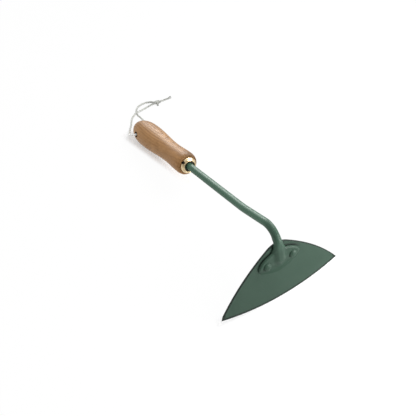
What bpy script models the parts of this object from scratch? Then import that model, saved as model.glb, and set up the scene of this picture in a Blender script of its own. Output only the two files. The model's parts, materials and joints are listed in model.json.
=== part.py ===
"""Short-handled draw hoe with a half-moon blade, lying on the floor.

The tool is drawn in its own frame, in metres. X runs along the handle to the blade, whose
front face is the plane X = 0. Y runs across, and Z up from the middle of the cutting edge.
The empty "hoe" tips that frame until the cutting edge and the handle both rest on the floor.
"""
import math

import bmesh
import bpy
import numpy as np

# Blade
BLADE_WIDTH = 0.158
BLADE_HEIGHT = 0.076
BLADE_THICKNESS = 0.002
EDGE_RADIUS = 0.270
SIDE_RADIUS = 0.236
CROWN_RADIUS = 0.024
GRIND_WIDTH = 0.004
EDGE_LAND = 0.0004

# Shank: tang, rod, rise and gooseneck
ROD_DIAMETER = 0.009
SHANK_REACH = 0.1729
TANG_LENGTH = 0.075
TANG_TIP_DIAMETER = 0.005
RISE_AT = 0.0597
RISE_ANGLE = math.radians(5.7)
RISE_RADIUS = 0.145
GOOSENECK_RADIUS = 0.018
NECK_LAP = 0.0014
NECK_OFFSET = 0.001
NECK_WIDTH = 0.0125
NECK_TAPER = 0.0095

# Palm: the spread end of the shank
PALM_WIDTH = 0.054
PALM_THICKNESS = 0.003
PALM_FOOT = 0.0013
PALM_RISE = 0.0141
PALM_DROP = 0.0172
PALM_ROUND = 0.0025
PALM_FILLET = 0.006
RIB_WIDTH = 0.0146
RIB_HEIGHT = 0.0045
RIB_DROP = 0.009
RIB_FALL = 0.015
RIB_FILLET = 0.0016

# Rivets
RIVET_SPACING = 0.034
RIVET_DROP = 0.0228
RIVET_DIAMETER = 0.005
RIVET_HEAD_DIAMETER = 0.0096
RIVET_HEAD_HEIGHT = 0.0022
RIVET_TAIL_DIAMETER = 0.0078
RIVET_TAIL_DEPTH = 0.0012

# Handle
HANDLE_LENGTH = 0.135
SWELL_DIAMETER = 0.033
SWELL_AT = 0.038
BUTT_FULLNESS = 2.5
WAIST_DIAMETER = 0.0268
WAIST_FROM_FRONT = 0.038
FLARE_DIAMETER = 0.029
FLARE_FROM_FRONT = 0.009
SHOULDER_DROP = 0.0027
HOLE_AT = 0.0255
HOLE_DIAMETER = 0.0066
HOLE_ROUND = 0.0012
HOLE_TURN = math.radians(15.0)

# Ferrule and its pin
FERRULE_DIAMETER = 0.0208
FERRULE_LENGTH = 0.0053
FERRULE_WALL = 0.001
MOUTH_DIAMETER = 0.0132
NOSE_LENGTH = 0.0038
PIN_DIAMETER = 0.0022
PIN_LENGTH = 0.0038
PIN_SINK = 0.0003
PIN_AT = 0.0017
PIN_TURN = math.radians(48.0)

# Gap that is left between pieces that touch on the real tool
SEAT_GAP = 0.0003

# Cord: its diameter and the points it is led through, from the middle of the hole.
# They are measured from the floor point under that middle.
CORD_DIAMETER = 0.0025
CORD_STEP = 0.005
CORD_NEAR = (
    (0.0005, -0.0007, 0.0145), (-0.0002, -0.0077, 0.0170), (-0.0009, -0.0146, 0.0195),
    (-0.0025, -0.0187, 0.0201), (-0.0058, -0.0213, 0.0187), (-0.0093, -0.0213, 0.0160),
    (-0.0128, -0.0196, 0.0125), (-0.0163, -0.0179, 0.0090), (-0.0198, -0.0162, 0.0056),
    (-0.0241, -0.0143, 0.0030), (-0.0281, -0.0121, 0.0016), (-0.0320, -0.0095, 0.00127),
    (-0.0405, -0.0028, 0.00127), (-0.0484, 0.0024, 0.00127), (-0.0536, 0.0068, 0.0016),
    (-0.0558, 0.0109, 0.0029), (-0.0572, 0.0159, 0.0041), (-0.0592, 0.0209, 0.0029),
    (-0.0612, 0.0265, 0.0016), (-0.0623, 0.0320, 0.00127), (-0.0635, 0.0384, 0.00127),
    (-0.0641, 0.0429, 0.0014), (-0.0636, 0.0456, 0.0021), (-0.0626, 0.0478, 0.0029),
)
CORD_FAR = (
    (0.0005, -0.0003, 0.0144), (0.0010, 0.0069, 0.0125), (0.0014, 0.0139, 0.0107),
    (0.0009, 0.0193, 0.0083), (-0.0019, 0.0240, 0.0046), (-0.0076, 0.0262, 0.0019),
    (-0.0151, 0.0257, 0.00127), (-0.0294, 0.0205, 0.00127), (-0.0393, 0.0174, 0.00127),
    (-0.0480, 0.0168, 0.00127), (-0.0573, 0.0159, 0.00127), (-0.0620, 0.0174, 0.00127),
    (-0.0661, 0.0201, 0.00127), (-0.0697, 0.0237, 0.00127), (-0.0719, 0.0277, 0.00127),
    (-0.0728, 0.0324, 0.00127), (-0.0730, 0.0375, 0.00127), (-0.0720, 0.0419, 0.00127),
    (-0.0706, 0.0451, 0.0014), (-0.0683, 0.0472, 0.0021), (-0.0654, 0.0484, 0.0029),
)
TAIL_LONG = (
    (-0.0620, 0.0575, 0.0029), (-0.0630, 0.0626, 0.0019), (-0.0637, 0.0667, 0.00127),
    (-0.0635, 0.0707, 0.00127), (-0.0637, 0.0739, 0.00127), (-0.0640, 0.0763, 0.00127),
)
TAIL_SHORT = (
    (-0.0602, 0.0514, 0.0027), (-0.0591, 0.0512, 0.0020), (-0.0576, 0.0508, 0.00127),
)

# Knot: where its two ends lie and how thick it is
KNOT_START = (-0.0639, 0.0487, 0.0029)
KNOT_END = (-0.0622, 0.0569, 0.0029)
KNOT_DIAMETER = 0.0054
KNOT_LOBE = 0.09

# Facets
TURNED_STEPS = 40
RIVET_STEPS = 24
FRONT_POINTS = 21
BACK_POINTS = 11

# Sizes that follow from the ones above
ROD_RADIUS = ROD_DIAMETER / 2
NECK_END = BLADE_HEIGHT - NECK_LAP
BEND = math.pi / 2 + RISE_ANGLE
CORNER_HEIGHT = NECK_END + GOOSENECK_RADIUS * math.tan(BEND / 2)
AXIS_HEIGHT = CORNER_HEIGHT - (RISE_AT + NECK_OFFSET) * math.tan(RISE_ANGLE)
WOOD_FRONT = -SHANK_REACH - FERRULE_LENGTH - SEAT_GAP
BUTT = WOOD_FRONT - HANDLE_LENGTH
WAIST_AT = HANDLE_LENGTH - WAIST_FROM_FRONT
FLARE_AT = HANDLE_LENGTH - FLARE_FROM_FRONT
RIVET_HEIGHT = BLADE_HEIGHT - RIVET_DROP
PALM_TOP = RIVET_HEIGHT + PALM_RISE
PALM_BOTTOM = RIVET_HEIGHT - PALM_DROP
RIM_HEIGHT = NECK_OFFSET - SEAT_GAP
ALONG_HANDLE = (0.0, math.pi / 2, 0.0)


def ease(x):
    """Cosine step from 0 to 1 as x goes from 0 to 1."""
    return 0.5 - 0.5 * np.cos(math.pi * np.clip(x, 0.0, 1.0))


def soft_max(a, b, width):
    """Larger of a and b, with the corner between them rounded over width."""
    return 0.5 * (a + b + np.sqrt((a - b) ** 2 + width ** 2))


def signed_power(x, power):
    """Power of the size of x that keeps its sign."""
    return np.sign(x) * np.abs(x) ** power


def finish(name, colour, roughness, metallic):
    """Principled material of one piece."""
    material = bpy.data.materials.new(name)
    material.use_nodes = True
    shader = material.node_tree.nodes["Principled BSDF"]
    shader.inputs["Base Color"].default_value = (*colour, 1.0)
    shader.inputs["Roughness"].default_value = roughness
    shader.inputs["Metallic"].default_value = metallic
    material.diffuse_color = (*colour, 1.0)
    return material


def add_object(name, data, material=None, parent=None, location=(0, 0, 0), rotation=(0, 0, 0)):
    """Object of the scene, placed in its parent's frame."""
    obj = bpy.data.objects.new(name, data)
    bpy.context.collection.objects.link(obj)
    obj.parent = parent
    obj.location = location
    obj.rotation_euler = rotation
    if material is not None:
        data.materials.append(material)
    return obj


def loft(name, rings, smooth=True):
    """Closed body through rings of equally many points, with flat ends."""
    bm = bmesh.new()
    loops = [[bm.verts.new(point) for point in ring] for ring in rings]
    for first, second in zip(loops, loops[1:]):
        for i in range(len(first)):
            j = (i + 1) % len(first)
            bm.faces.new((first[i], first[j], second[j], second[i]))
    bm.faces.new(loops[0][::-1])
    bm.faces.new(loops[-1])
    bmesh.ops.recalc_face_normals(bm, faces=bm.faces)
    for face in bm.faces:
        face.smooth = smooth
    mesh = bpy.data.meshes.new(name)
    bm.to_mesh(mesh)
    bm.free()
    mesh.set_sharp_from_angle(angle=math.radians(35.0))
    return mesh


def turn(name, profile, steps, **place):
    """Turned body: a profile of (radius, height), down its outer side, screwed round Z."""
    mesh = bpy.data.meshes.new(name)
    points = [(radius, 0.0, height) for radius, height in profile]
    edges = [(i, i + 1) for i in range(len(points) - 1)]
    mesh.from_pydata(points, edges, [])
    obj = add_object(name, mesh, **place)
    screw = obj.modifiers.new("Turn", "SCREW")
    screw.axis = "Z"
    screw.steps = steps
    screw.render_steps = steps
    screw.use_merge_vertices = True
    screw.merge_threshold = 0.00001
    screw.use_smooth_shade = True
    return obj


def cut(body, cutter):
    """Take the cutter's shape out of a body."""
    cutter.hide_render = True
    cutter.display_type = "WIRE"
    boolean = body.modifiers.new("Cut " + cutter.name, "BOOLEAN")
    boolean.operation = "DIFFERENCE"
    boolean.solver = "EXACT"
    boolean.object = cutter


def arc(centre, radius, start, end, steps):
    """Points of an arc, without its last one."""
    angles = np.linspace(start, end, steps + 1)[:-1]
    return [(centre[0] + radius * math.cos(a), centre[1] + radius * math.sin(a)) for a in angles]


def circles_meet(centre_a, radius_a, centre_b, radius_b, side):
    """Point where two circles cross, on the given side of the line from a to b."""
    gap = np.subtract(centre_b, centre_a)
    distance = np.hypot(*gap)
    along = (distance ** 2 + radius_a ** 2 - radius_b ** 2) / (2 * distance)
    off = side * math.sqrt(radius_a ** 2 - along ** 2)
    unit = gap / distance
    return np.asarray(centre_a) + along * unit + off * np.array([-unit[1], unit[0]])


def blade_outline(edge_radius):
    """Outline across and up the blade, with its lower arc drawn at the given radius."""
    edge_centre = (0.0, EDGE_RADIUS)
    crown_centre = (0.0, BLADE_HEIGHT - CROWN_RADIUS)
    half = BLADE_WIDTH / 2
    corner = (half, EDGE_RADIUS - math.sqrt(EDGE_RADIUS ** 2 - half ** 2))
    side_centre = circles_meet(corner, SIDE_RADIUS, crown_centre, SIDE_RADIUS - CROWN_RADIUS, 1)
    tip = circles_meet(edge_centre, edge_radius, side_centre, SIDE_RADIUS, 1)
    tip_angle = math.atan2(tip[1] - EDGE_RADIUS, tip[0])
    low = math.atan2(tip[1] - side_centre[1], tip[0] - side_centre[0])
    high = math.atan2(crown_centre[1] - side_centre[1], crown_centre[0] - side_centre[0])
    mirror = (-side_centre[0], side_centre[1])
    points = arc(edge_centre, edge_radius, -math.pi - tip_angle, tip_angle, 44)
    points += arc(side_centre, SIDE_RADIUS, low, high, 22)
    points += arc(crown_centre, CROWN_RADIUS, high, math.pi - high, 12)
    points += arc(mirror, SIDE_RADIUS, math.pi - high, math.pi - low, 22)
    return points


def build_blade(parent, paint):
    """Flat half-moon plate, its cutting edge ground from the back."""
    full = blade_outline(EDGE_RADIUS)
    ground = blade_outline(EDGE_RADIUS - GRIND_WIDTH)
    levels = ((full, 0.0), (full, -EDGE_LAND), (ground, -BLADE_THICKNESS))
    rings = [[(x, y, z) for y, z in outline] for outline, x in levels]
    return add_object("blade", loft("blade", rings, smooth=False), paint, parent)


def rivet_profile():
    """Rivet turned round its own axis, from its dome to its flush tail."""
    seat = PALM_THICKNESS + 2 * SEAT_GAP
    head = RIVET_HEAD_DIAMETER / 2
    shank = RIVET_DIAMETER / 2
    back = -BLADE_THICKNESS
    dome = [(head * math.sin(a), seat + RIVET_HEAD_HEIGHT * math.cos(a))
            for a in np.linspace(0.0, math.pi / 2, 7)]
    lower = [(shank, seat), (shank, back + RIVET_TAIL_DEPTH), (RIVET_TAIL_DIAMETER / 2, back), (0.0, back)]
    return dome + lower


def rivet_hole_profile():
    """Hole for a rivet: its shank and tail with the seat gap, run past both faces."""
    shank = RIVET_DIAMETER / 2 + SEAT_GAP
    tail = RIVET_TAIL_DIAMETER / 2 + SEAT_GAP
    top = PALM_THICKNESS + RIVET_HEAD_HEIGHT
    back = -BLADE_THICKNESS
    slope = (tail - shank) / RIVET_TAIL_DEPTH
    past = RIVET_TAIL_DEPTH
    return [(0.0, top), (shank, top), (shank, back + RIVET_TAIL_DEPTH), (tail, back),
            (tail + slope * past, back - past), (0.0, back - past)]


def build_rivets(parent, paint, bodies):
    """Two domed rivets and their holes in the palm and the blade."""
    for name, side in (("rivet_left", -1), ("rivet_right", 1)):
        place = dict(parent=parent, location=(0.0, side * RIVET_SPACING / 2, RIVET_HEIGHT),
                     rotation=ALONG_HANDLE)
        turn(name, rivet_profile(), RIVET_STEPS, material=paint[name], **place)
        hole = turn(name + "_hole", rivet_hole_profile(), RIVET_STEPS, **place)
        for body in bodies:
            cut(body, hole)


def bend(corner, start, end, radius, steps):
    """Stations (x, z, heading) along an arc that rounds a corner between two headings."""
    side = 1.0 if end > start else -1.0
    reach = radius * math.tan(abs(end - start) / 2)
    x = corner[0] - reach * math.cos(start) - side * radius * math.sin(start)
    z = corner[1] - reach * math.sin(start) + side * radius * math.cos(start)
    headings = np.linspace(start, end, steps + 1)
    return [(x + side * radius * math.sin(a), z - side * radius * math.cos(a), a) for a in headings]


def neck_half_width(z):
    """Half-width of the neck and rib: the rod, widened where it is flattened."""
    spread = ease((BLADE_HEIGHT + NECK_TAPER - z) / (2 * NECK_TAPER))
    wide = ROD_RADIUS + (NECK_WIDTH / 2 - ROD_RADIUS) * spread
    rib = wide + (RIB_WIDTH / 2 - wide) * ease((PALM_TOP - z) / PALM_RISE)
    end = np.clip((RIVET_HEIGHT - z) / RIB_DROP, 0.0, 0.97)
    return rib * np.sqrt(1.0 - end ** 2)


def palm_half_width(z):
    """Half-width of the shank's outline at a height on the blade."""
    up = (z - RIVET_HEIGHT) / PALM_RISE
    down = (RIVET_HEIGHT - z) / PALM_DROP
    above = signed_power(1.0 - np.abs(up) ** 1.7, 0.5)
    below = signed_power(1.0 - down ** 2, 0.5)
    wing = PALM_WIDTH / 2 * np.where(up > 0.0, above, below)
    neck = neck_half_width(np.maximum(z, RIVET_HEIGHT))
    return np.where(up > 0.0, soft_max(wing, neck, PALM_FILLET * ease(up * 2)), wing)


def palm_thickness(z):
    """Thickness of the palm, drawn out thin from under the rivets to its foot."""
    head = RIVET_HEAD_DIAMETER / 2
    thinned = ease((RIVET_HEIGHT - head - z) / (PALM_DROP - head))
    return PALM_THICKNESS + (PALM_FOOT - PALM_THICKNESS) * thinned


def palm_front(y, z, half):
    """Height of the palm's front over its rim line: a rounded plate with a rib that fades out."""
    step = 0.00001
    slope = (palm_half_width(z + step) - palm_half_width(z - step)) / (2 * step)
    inset = np.clip((half - np.abs(y)) / np.sqrt(1.0 + slope ** 2) / PALM_ROUND, 0.0, 1.0)
    top = palm_thickness(z) - RIM_HEIGHT
    plate = top * np.sqrt(1.0 - (1.0 - inset) ** 2)
    fall = np.clip((RIVET_HEIGHT + RIB_FALL - RIB_DROP - z) / RIB_FALL, 0.0, 2.0)
    crest = top + (RIB_HEIGHT - top) * signed_power(1.0 - fall ** 2, 0.5)
    rib = np.maximum(crest, 0.0) * signed_power(1.0 - (y / neck_half_width(z)) ** 2, 0.75)
    return soft_max(plate, rib, RIB_FILLET * inset)


def shank_ring(x, z, heading, radius=None):
    """Section of the shank square to its path: round rod, or flat-backed neck and palm."""
    front = np.linspace(0.0, math.pi, FRONT_POINTS)
    back = np.linspace(math.pi, 2 * math.pi, BACK_POINTS + 2)[1:-1]
    angle = np.concatenate([front, back])
    side = np.cos(angle)
    if radius is not None or heading > -math.pi / 4:
        size = ROD_RADIUS if radius is None else radius
        across = size * side
        out = size * np.sin(angle)
    else:
        flat = ease((BLADE_HEIGHT + NECK_TAPER - z) / (NECK_TAPER - SEAT_GAP))
        spread = ease((BLADE_HEIGHT + NECK_TAPER / 2 - z) / NECK_TAPER)
        half = float(palm_half_width(z))
        across = half * side * (1.0 - 0.55 * spread * (1.0 - side ** 2))
        round_front = ROD_RADIUS * np.sqrt(np.maximum(0.0, 1.0 - (across / half) ** 2))
        plate_front = palm_front(across, z, half)
        rise = round_front + (plate_front - round_front) * spread
        seat = (x - SEAT_GAP) / -math.sin(heading)
        depth = ROD_RADIUS + (seat - ROD_RADIUS) * flat
        power = 2.0 + 6.0 * flat
        sink = depth * (1.0 - np.abs(side) ** power) ** (1.0 / power)
        out = np.where(angle <= math.pi, rise, -sink)
    out[0] = 0.0
    out[FRONT_POINTS - 1] = 0.0
    return [(x - o * math.sin(heading), a, z + o * math.cos(heading)) for a, o in zip(across, out)]


def build_shank(parent, paint):
    """Tang, rod, rise, gooseneck and palm in one lofted forging."""
    tang_start = WOOD_FRONT - TANG_LENGTH
    stations = [(tang_start, AXIS_HEIGHT, 0.0, TANG_TIP_DIAMETER / 2)]
    stations.append((WOOD_FRONT, AXIS_HEIGHT, 0.0, None))
    stations.append((-SHANK_REACH, AXIS_HEIGHT, 0.0, None))
    stations += [(*s, None) for s in bend((-RISE_AT, AXIS_HEIGHT), 0.0, RISE_ANGLE, RISE_RADIUS, 4)]
    corner = (NECK_OFFSET, CORNER_HEIGHT)
    stations += [(*s, None) for s in bend(corner, RISE_ANGLE, -math.pi / 2, GOOSENECK_RADIUS, 20)]
    middle = (PALM_TOP + PALM_BOTTOM) / 2
    reach = (PALM_TOP - PALM_BOTTOM) / 2
    gap = NECK_END - PALM_TOP
    heights = [PALM_TOP + gap * k for k in (0.8, 0.6, 0.4, 0.2)]
    heights += [middle + reach * math.cos(math.pi * k / 26) for k in range(1, 26)]
    heights.append(middle - reach * math.cos(math.pi * 0.45 / 26))
    stations += [(NECK_OFFSET, z, -math.pi / 2, None) for z in heights]
    rings = [shank_ring(*station) for station in stations]
    return add_object("shank", loft("shank", rings), paint, parent)


def handle_radius(t):
    """Radius of the grip at a distance t from its butt."""
    swell, waist, flare = SWELL_DIAMETER / 2, WAIST_DIAMETER / 2, FLARE_DIAMETER / 2
    butt = 1.0 - np.clip(1.0 - t / SWELL_AT, 0.0, 1.0) ** BUTT_FULLNESS
    front = np.clip((t - FLARE_AT) / FLARE_FROM_FRONT, 0.0, 1.0)
    radius = swell * np.sqrt(butt)
    radius = radius + (waist - swell) * ease((t - SWELL_AT) / (WAIST_AT - SWELL_AT))
    radius = radius + (flare - waist) * ease((t - WAIST_AT) / (FLARE_AT - WAIST_AT))
    return radius - SHOULDER_DROP * (1.0 - np.sqrt(1.0 - front ** 2.2))


def handle_stations():
    """Distances from the butt at which the grip's profile is drawn."""
    dome = SWELL_AT * np.linspace(0.0, 1.0, 12) ** 2
    body = np.linspace(SWELL_AT, FLARE_AT, 15)[1:]
    edge = HANDLE_LENGTH - FLARE_FROM_FRONT * np.linspace(1.0, 0.0, 6)[1:] ** 2
    return np.concatenate([dome, body, edge])


def cup_radius(z, wall):
    """Radius of the ferrule's outside, or of its inside at the depth of its wall."""
    mouth = MOUTH_DIAMETER / 2
    share = np.clip(z / (FERRULE_LENGTH - wall), 0.0, 1.0)
    return mouth + (FERRULE_DIAMETER / 2 - wall - mouth) * np.sqrt(1.0 - share ** 2)


def build_handle(parent, wood):
    """Turned grip with a tang bore, a nose inside the ferrule and a cross hole."""
    bore_tip = TANG_TIP_DIAMETER / 2 + SEAT_GAP
    bore_mouth = ROD_RADIUS + SEAT_GAP
    bore_end = HANDLE_LENGTH - TANG_LENGTH - SEAT_GAP
    profile = [(0.0, bore_end), (bore_tip, bore_end), (bore_mouth, HANDLE_LENGTH),
               (bore_mouth, HANDLE_LENGTH + NOSE_LENGTH)]
    for z in np.linspace(NOSE_LENGTH, 0.0, 5):
        profile.append((cup_radius(z - SEAT_GAP, FERRULE_WALL) - SEAT_GAP, HANDLE_LENGTH + z))
    outer = handle_stations()[::-1]
    profile += [(radius, t) for radius, t in zip(handle_radius(outer), outer)]
    handle = turn("handle", profile, TURNED_STEPS, material=wood, parent=parent,
                  location=(BUTT, 0.0, AXIS_HEIGHT), rotation=ALONG_HANDLE)
    surface = float(handle_radius(HOLE_AT))
    past = surface + HOLE_DIAMETER
    upper = [(0.0, past), (HOLE_DIAMETER / 2 + HOLE_ROUND, past)]
    for a in np.linspace(0.0, math.pi / 2, 4):
        radius = HOLE_DIAMETER / 2 + HOLE_ROUND * (1.0 - math.sin(a))
        upper.append((radius, surface - HOLE_ROUND * (1.0 - math.cos(a))))
    lower = [(radius, -height) for radius, height in reversed(upper)]
    hole = turn("cord_hole", upper + lower, RIVET_STEPS, parent=parent,
                location=(BUTT + HOLE_AT, 0.0, AXIS_HEIGHT), rotation=(math.pi / 2 - HOLE_TURN, 0.0, 0.0))
    cut(handle, hole)
    return handle


def build_ferrule(parent, brass):
    """Spun brass cup over the nose of the handle."""
    outside = np.sin(np.linspace(math.pi / 2, 0.0, 9))
    inside = outside[::-1]
    profile = [(cup_radius(FERRULE_LENGTH * s, 0.0), FERRULE_LENGTH * s) for s in outside]
    depth = FERRULE_LENGTH - FERRULE_WALL
    profile += [(cup_radius(depth * s, FERRULE_WALL), depth * s) for s in inside]
    profile.append(profile[0])
    return turn("ferrule", profile, TURNED_STEPS, material=brass, parent=parent,
                location=(WOOD_FRONT + SEAT_GAP, 0.0, AXIS_HEIGHT), rotation=ALONG_HANDLE)


def build_pin(parent, steel, bodies):
    """Small pin through the ferrule's rear into the wood, sunk a little."""
    outer = float(cup_radius(PIN_AT, 0.0)) - PIN_SINK
    radius = PIN_DIAMETER / 2
    inner = outer - PIN_LENGTH
    place = dict(parent=parent, location=(WOOD_FRONT + SEAT_GAP + PIN_AT, 0.0, AXIS_HEIGHT),
                 rotation=(math.pi / 2 - PIN_TURN, 0.0, 0.0))
    pin = [(0.0, outer), (radius, outer), (radius, inner), (0.0, inner)]
    turn("ferrule_pin", pin, 16, material=steel, **place)
    wide = radius + SEAT_GAP
    top = outer + PIN_LENGTH
    bottom = inner - SEAT_GAP
    hole = turn("pin_hole", [(0.0, top), (wide, top), (wide, bottom), (0.0, bottom)], 16, **place)
    for body in bodies:
        cut(body, hole)


def smooth_route(points, step):
    """Evenly spaced points of the natural cubic spline through a route."""
    route = np.array(points)
    knots = np.concatenate([[0.0], np.cumsum(np.linalg.norm(np.diff(route, axis=0), axis=1))])
    gaps = np.diff(knots)
    count = len(route)
    matrix = np.eye(count)
    right = np.zeros((count, 3))
    slopes = np.diff(route, axis=0) / gaps[:, None]
    for i in range(1, count - 1):
        matrix[i, i - 1:i + 2] = gaps[i - 1], 2 * (gaps[i - 1] + gaps[i]), gaps[i]
        right[i] = 6 * (slopes[i] - slopes[i - 1])
    curve = np.linalg.solve(matrix, right)
    at = np.linspace(0.0, knots[-1], math.ceil(knots[-1] / step) + 1)
    i = np.clip(np.searchsorted(knots, at, side="right") - 1, 0, count - 2)
    gap = gaps[i, None]
    a = (knots[i + 1] - at)[:, None]
    b = (at - knots[i])[:, None]
    cubic = (curve[i] * a ** 3 + curve[i + 1] * b ** 3) / (6 * gap)
    before = (route[i] / gap - curve[i] * gap / 6) * a
    after = (route[i + 1] / gap - curve[i + 1] * gap / 6) * b
    return cubic + before + after


def build_cord(name, route, twine, place):
    """Free stretch of the cord as a tube along its route."""
    points = smooth_route(route, CORD_STEP)
    curve = bpy.data.curves.new(name, "CURVE")
    curve.dimensions = "3D"
    curve.bevel_depth = CORD_DIAMETER / 2
    curve.bevel_resolution = 2
    curve.use_fill_caps = True
    spline = curve.splines.new("POLY")
    spline.points.add(len(points) - 1)
    for target, point in zip(spline.points, points):
        target.co = (*point, 1.0)
    spline.use_smooth = True
    return add_object(name, curve, twine, location=place)


def build_knot(twine, place):
    """Overhand knot: a three-lobed barrel, twisted along its length."""
    start, end = np.array(KNOT_START), np.array(KNOT_END)
    axis = (end - start) / np.linalg.norm(end - start)
    across = np.cross(axis, (0.0, 0.0, 1.0))
    angles = np.linspace(0.0, 2 * math.pi, 18, endpoint=False)
    rings = []
    for share in np.linspace(0.0, 1.0, 11):
        full = KNOT_DIAMETER / 2 / (1.0 + KNOT_LOBE)
        barrel = full * (0.72 + 0.28 * math.sin(math.pi * share) ** 0.6)
        radius = barrel * (1.0 + KNOT_LOBE * np.cos(3 * angles + 2.4 * share))
        centre = start + (end - start) * share
        rings.append([centre + r * (math.cos(a) * across + math.sin(a) * np.array((0.0, 0.0, 1.0)))
                      for r, a in zip(radius, angles)])
    return add_object("cord_knot", loft("cord_knot", rings), twine, location=place)


def rest_pose():
    """Tip and place of the tool's frame with its edge and handle on the floor, centred in X."""
    t = handle_stations()
    x = BUTT + t
    low = AXIS_HEIGHT - handle_radius(t)
    high = AXIS_HEIGHT + handle_radius(t)
    pitch = float(np.min(np.arctan2(low, -x - EDGE_LAND)))
    rear = float(np.min(x * math.cos(pitch) - high * math.sin(pitch)))
    return pitch, (-rear / 2, 0.0, EDGE_LAND * math.sin(pitch))


def under_hole(pitch, place):
    """Floor point under the middle of the cord hole."""
    along = (BUTT + HOLE_AT) * math.cos(pitch) - AXIS_HEIGHT * math.sin(pitch)
    return place[0] + along, 0.0, 0.0


def main():
    for obj in list(bpy.data.objects):
        bpy.data.objects.remove(obj)
    pitch, place = rest_pose()
    hoe = add_object("hoe", None, location=place, rotation=(0.0, -pitch, 0.0))
    green = (0.085, 0.125, 0.095)
    paint = {name: finish(name + "_paint", green, 0.35, 0.0)
             for name in ("blade", "shank", "rivet_left", "rivet_right")}
    blade = build_blade(hoe, paint["blade"])
    shank = build_shank(hoe, paint["shank"])
    build_rivets(hoe, paint, (blade, shank))
    handle = build_handle(hoe, finish("handle_wood", (0.36, 0.21, 0.11), 0.4, 0.0))
    ferrule = build_ferrule(hoe, finish("ferrule_brass", (0.72, 0.55, 0.28), 0.22, 1.0))
    build_pin(hoe, finish("pin_steel", (0.16, 0.13, 0.1), 0.5, 1.0), (ferrule, handle))
    twine = (0.62, 0.6, 0.54)
    routes = dict(cord_near=CORD_NEAR, cord_far=CORD_FAR,
                  cord_tail_long=TAIL_LONG, cord_tail_short=TAIL_SHORT)
    spot = under_hole(pitch, place)
    for name, route in routes.items():
        build_cord(name, route, finish(name + "_twine", twine, 0.9, 0.0), spot)
    build_knot(finish("cord_knot_twine", twine, 0.9, 0.0), spot)


main()
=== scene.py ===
"""Looks of a short-handled draw hoe: painted half-moon blade and shank, wooden grip, cord loop.

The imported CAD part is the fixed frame. Lengths are metres. Shapes are drawn in the tool's own
frame, in which X runs along the handle to the blade, whose front face is the plane X = 0, Y runs
across, and Z up from the middle of the cutting edge. set_down() lays them where the part lies.
"""
import json
import math

import bpy
import numpy as np
from bpy.props import FloatProperty, FloatVectorProperty, IntProperty, PointerProperty
from mathutils import Matrix, Vector


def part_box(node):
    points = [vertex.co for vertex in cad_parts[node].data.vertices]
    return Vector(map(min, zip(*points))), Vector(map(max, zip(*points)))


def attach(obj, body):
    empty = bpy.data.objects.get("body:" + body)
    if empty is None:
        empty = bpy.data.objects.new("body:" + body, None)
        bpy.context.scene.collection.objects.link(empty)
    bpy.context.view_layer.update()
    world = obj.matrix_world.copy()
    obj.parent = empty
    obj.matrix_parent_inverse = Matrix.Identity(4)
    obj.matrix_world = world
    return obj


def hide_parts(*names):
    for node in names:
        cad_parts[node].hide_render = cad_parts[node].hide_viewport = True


bl_info = {
    "name": "Draw Hoe",
    "version": (1, 0, 0),
    "blender": (4, 5, 0),
    "location": "3D View > Sidebar > Draw Hoe",
    "description": "Builds the pieces, finishes and studio of a short-handled draw hoe",
    "category": "Object",
}

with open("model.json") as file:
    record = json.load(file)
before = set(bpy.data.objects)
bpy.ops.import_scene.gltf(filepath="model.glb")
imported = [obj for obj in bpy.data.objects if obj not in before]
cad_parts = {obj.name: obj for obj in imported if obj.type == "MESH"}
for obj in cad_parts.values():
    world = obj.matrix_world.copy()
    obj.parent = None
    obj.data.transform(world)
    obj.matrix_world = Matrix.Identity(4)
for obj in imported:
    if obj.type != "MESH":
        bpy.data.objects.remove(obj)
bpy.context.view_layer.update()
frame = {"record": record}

# Sizes of the part that its pieces repeat
BLADE_HEIGHT = 0.076
BLADE_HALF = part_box("blade")[1].y
BLADE_THICKNESS = 0.002
EDGE_RADIUS = 0.270
SIDE_RADIUS = 0.236
CROWN_RADIUS = 0.024
GRIND_WIDTH = 0.004
EDGE_LAND = 0.0004
ROD_RADIUS = 0.0045
SHANK_REACH = 0.1729
TANG_LENGTH = 0.075
TANG_TIP_RADIUS = 0.0025
RISE_AT = 0.0597
RISE_ANGLE = math.radians(5.7)
RISE_RADIUS = 0.145
GOOSENECK_RADIUS = 0.018
NECK_LAP = 0.0014
NECK_OFFSET = 0.001
NECK_WIDTH = 0.0125
NECK_TAPER = 0.0095
PALM_WIDTH = 0.054
PALM_RISE = 0.0141
PALM_DROP = 0.0172
PALM_ROUND = 0.0025
WING_FULLNESS = 1.7
RIB_WIDTH = 0.0146
RIB_HEIGHT = 0.0045
RIVET_SPACING = 0.034
RIVET_DROP = 0.0228
RIVET_RADIUS = 0.0025
RIVET_HEAD_RADIUS = 0.0048
RIVET_HEAD_HEIGHT = 0.0022
RIVET_TAIL_RADIUS = 0.0039
HANDLE_LENGTH = 0.135
SWELL_RADIUS = 0.0165
SWELL_AT = 0.038
BUTT_FULLNESS = 2.5
WAIST_RADIUS = 0.0134
WAIST_AT = HANDLE_LENGTH - 0.038
FLARE_RADIUS = 0.0145
FLARE_LENGTH = 0.009
SHOULDER_DROP = 0.0027
SHOULDER_FULLNESS = 2.2
HOLE_AT = 0.0255
HOLE_RADIUS = 0.0033
HOLE_ROUND = 0.0012
HOLE_TURN = math.radians(15.0)
FERRULE_RADIUS = 0.0104
FERRULE_LENGTH = 0.0053
FERRULE_WALL = 0.001
MOUTH_RADIUS = 0.0066
NOSE_LENGTH = 0.0038
PIN_RADIUS = 0.0011
PIN_LENGTH = 0.0038
PIN_SINK = 0.0003
PIN_AT = 0.0017
PIN_TURN = math.radians(48.0)
SEAT_GAP = 0.0003

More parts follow.
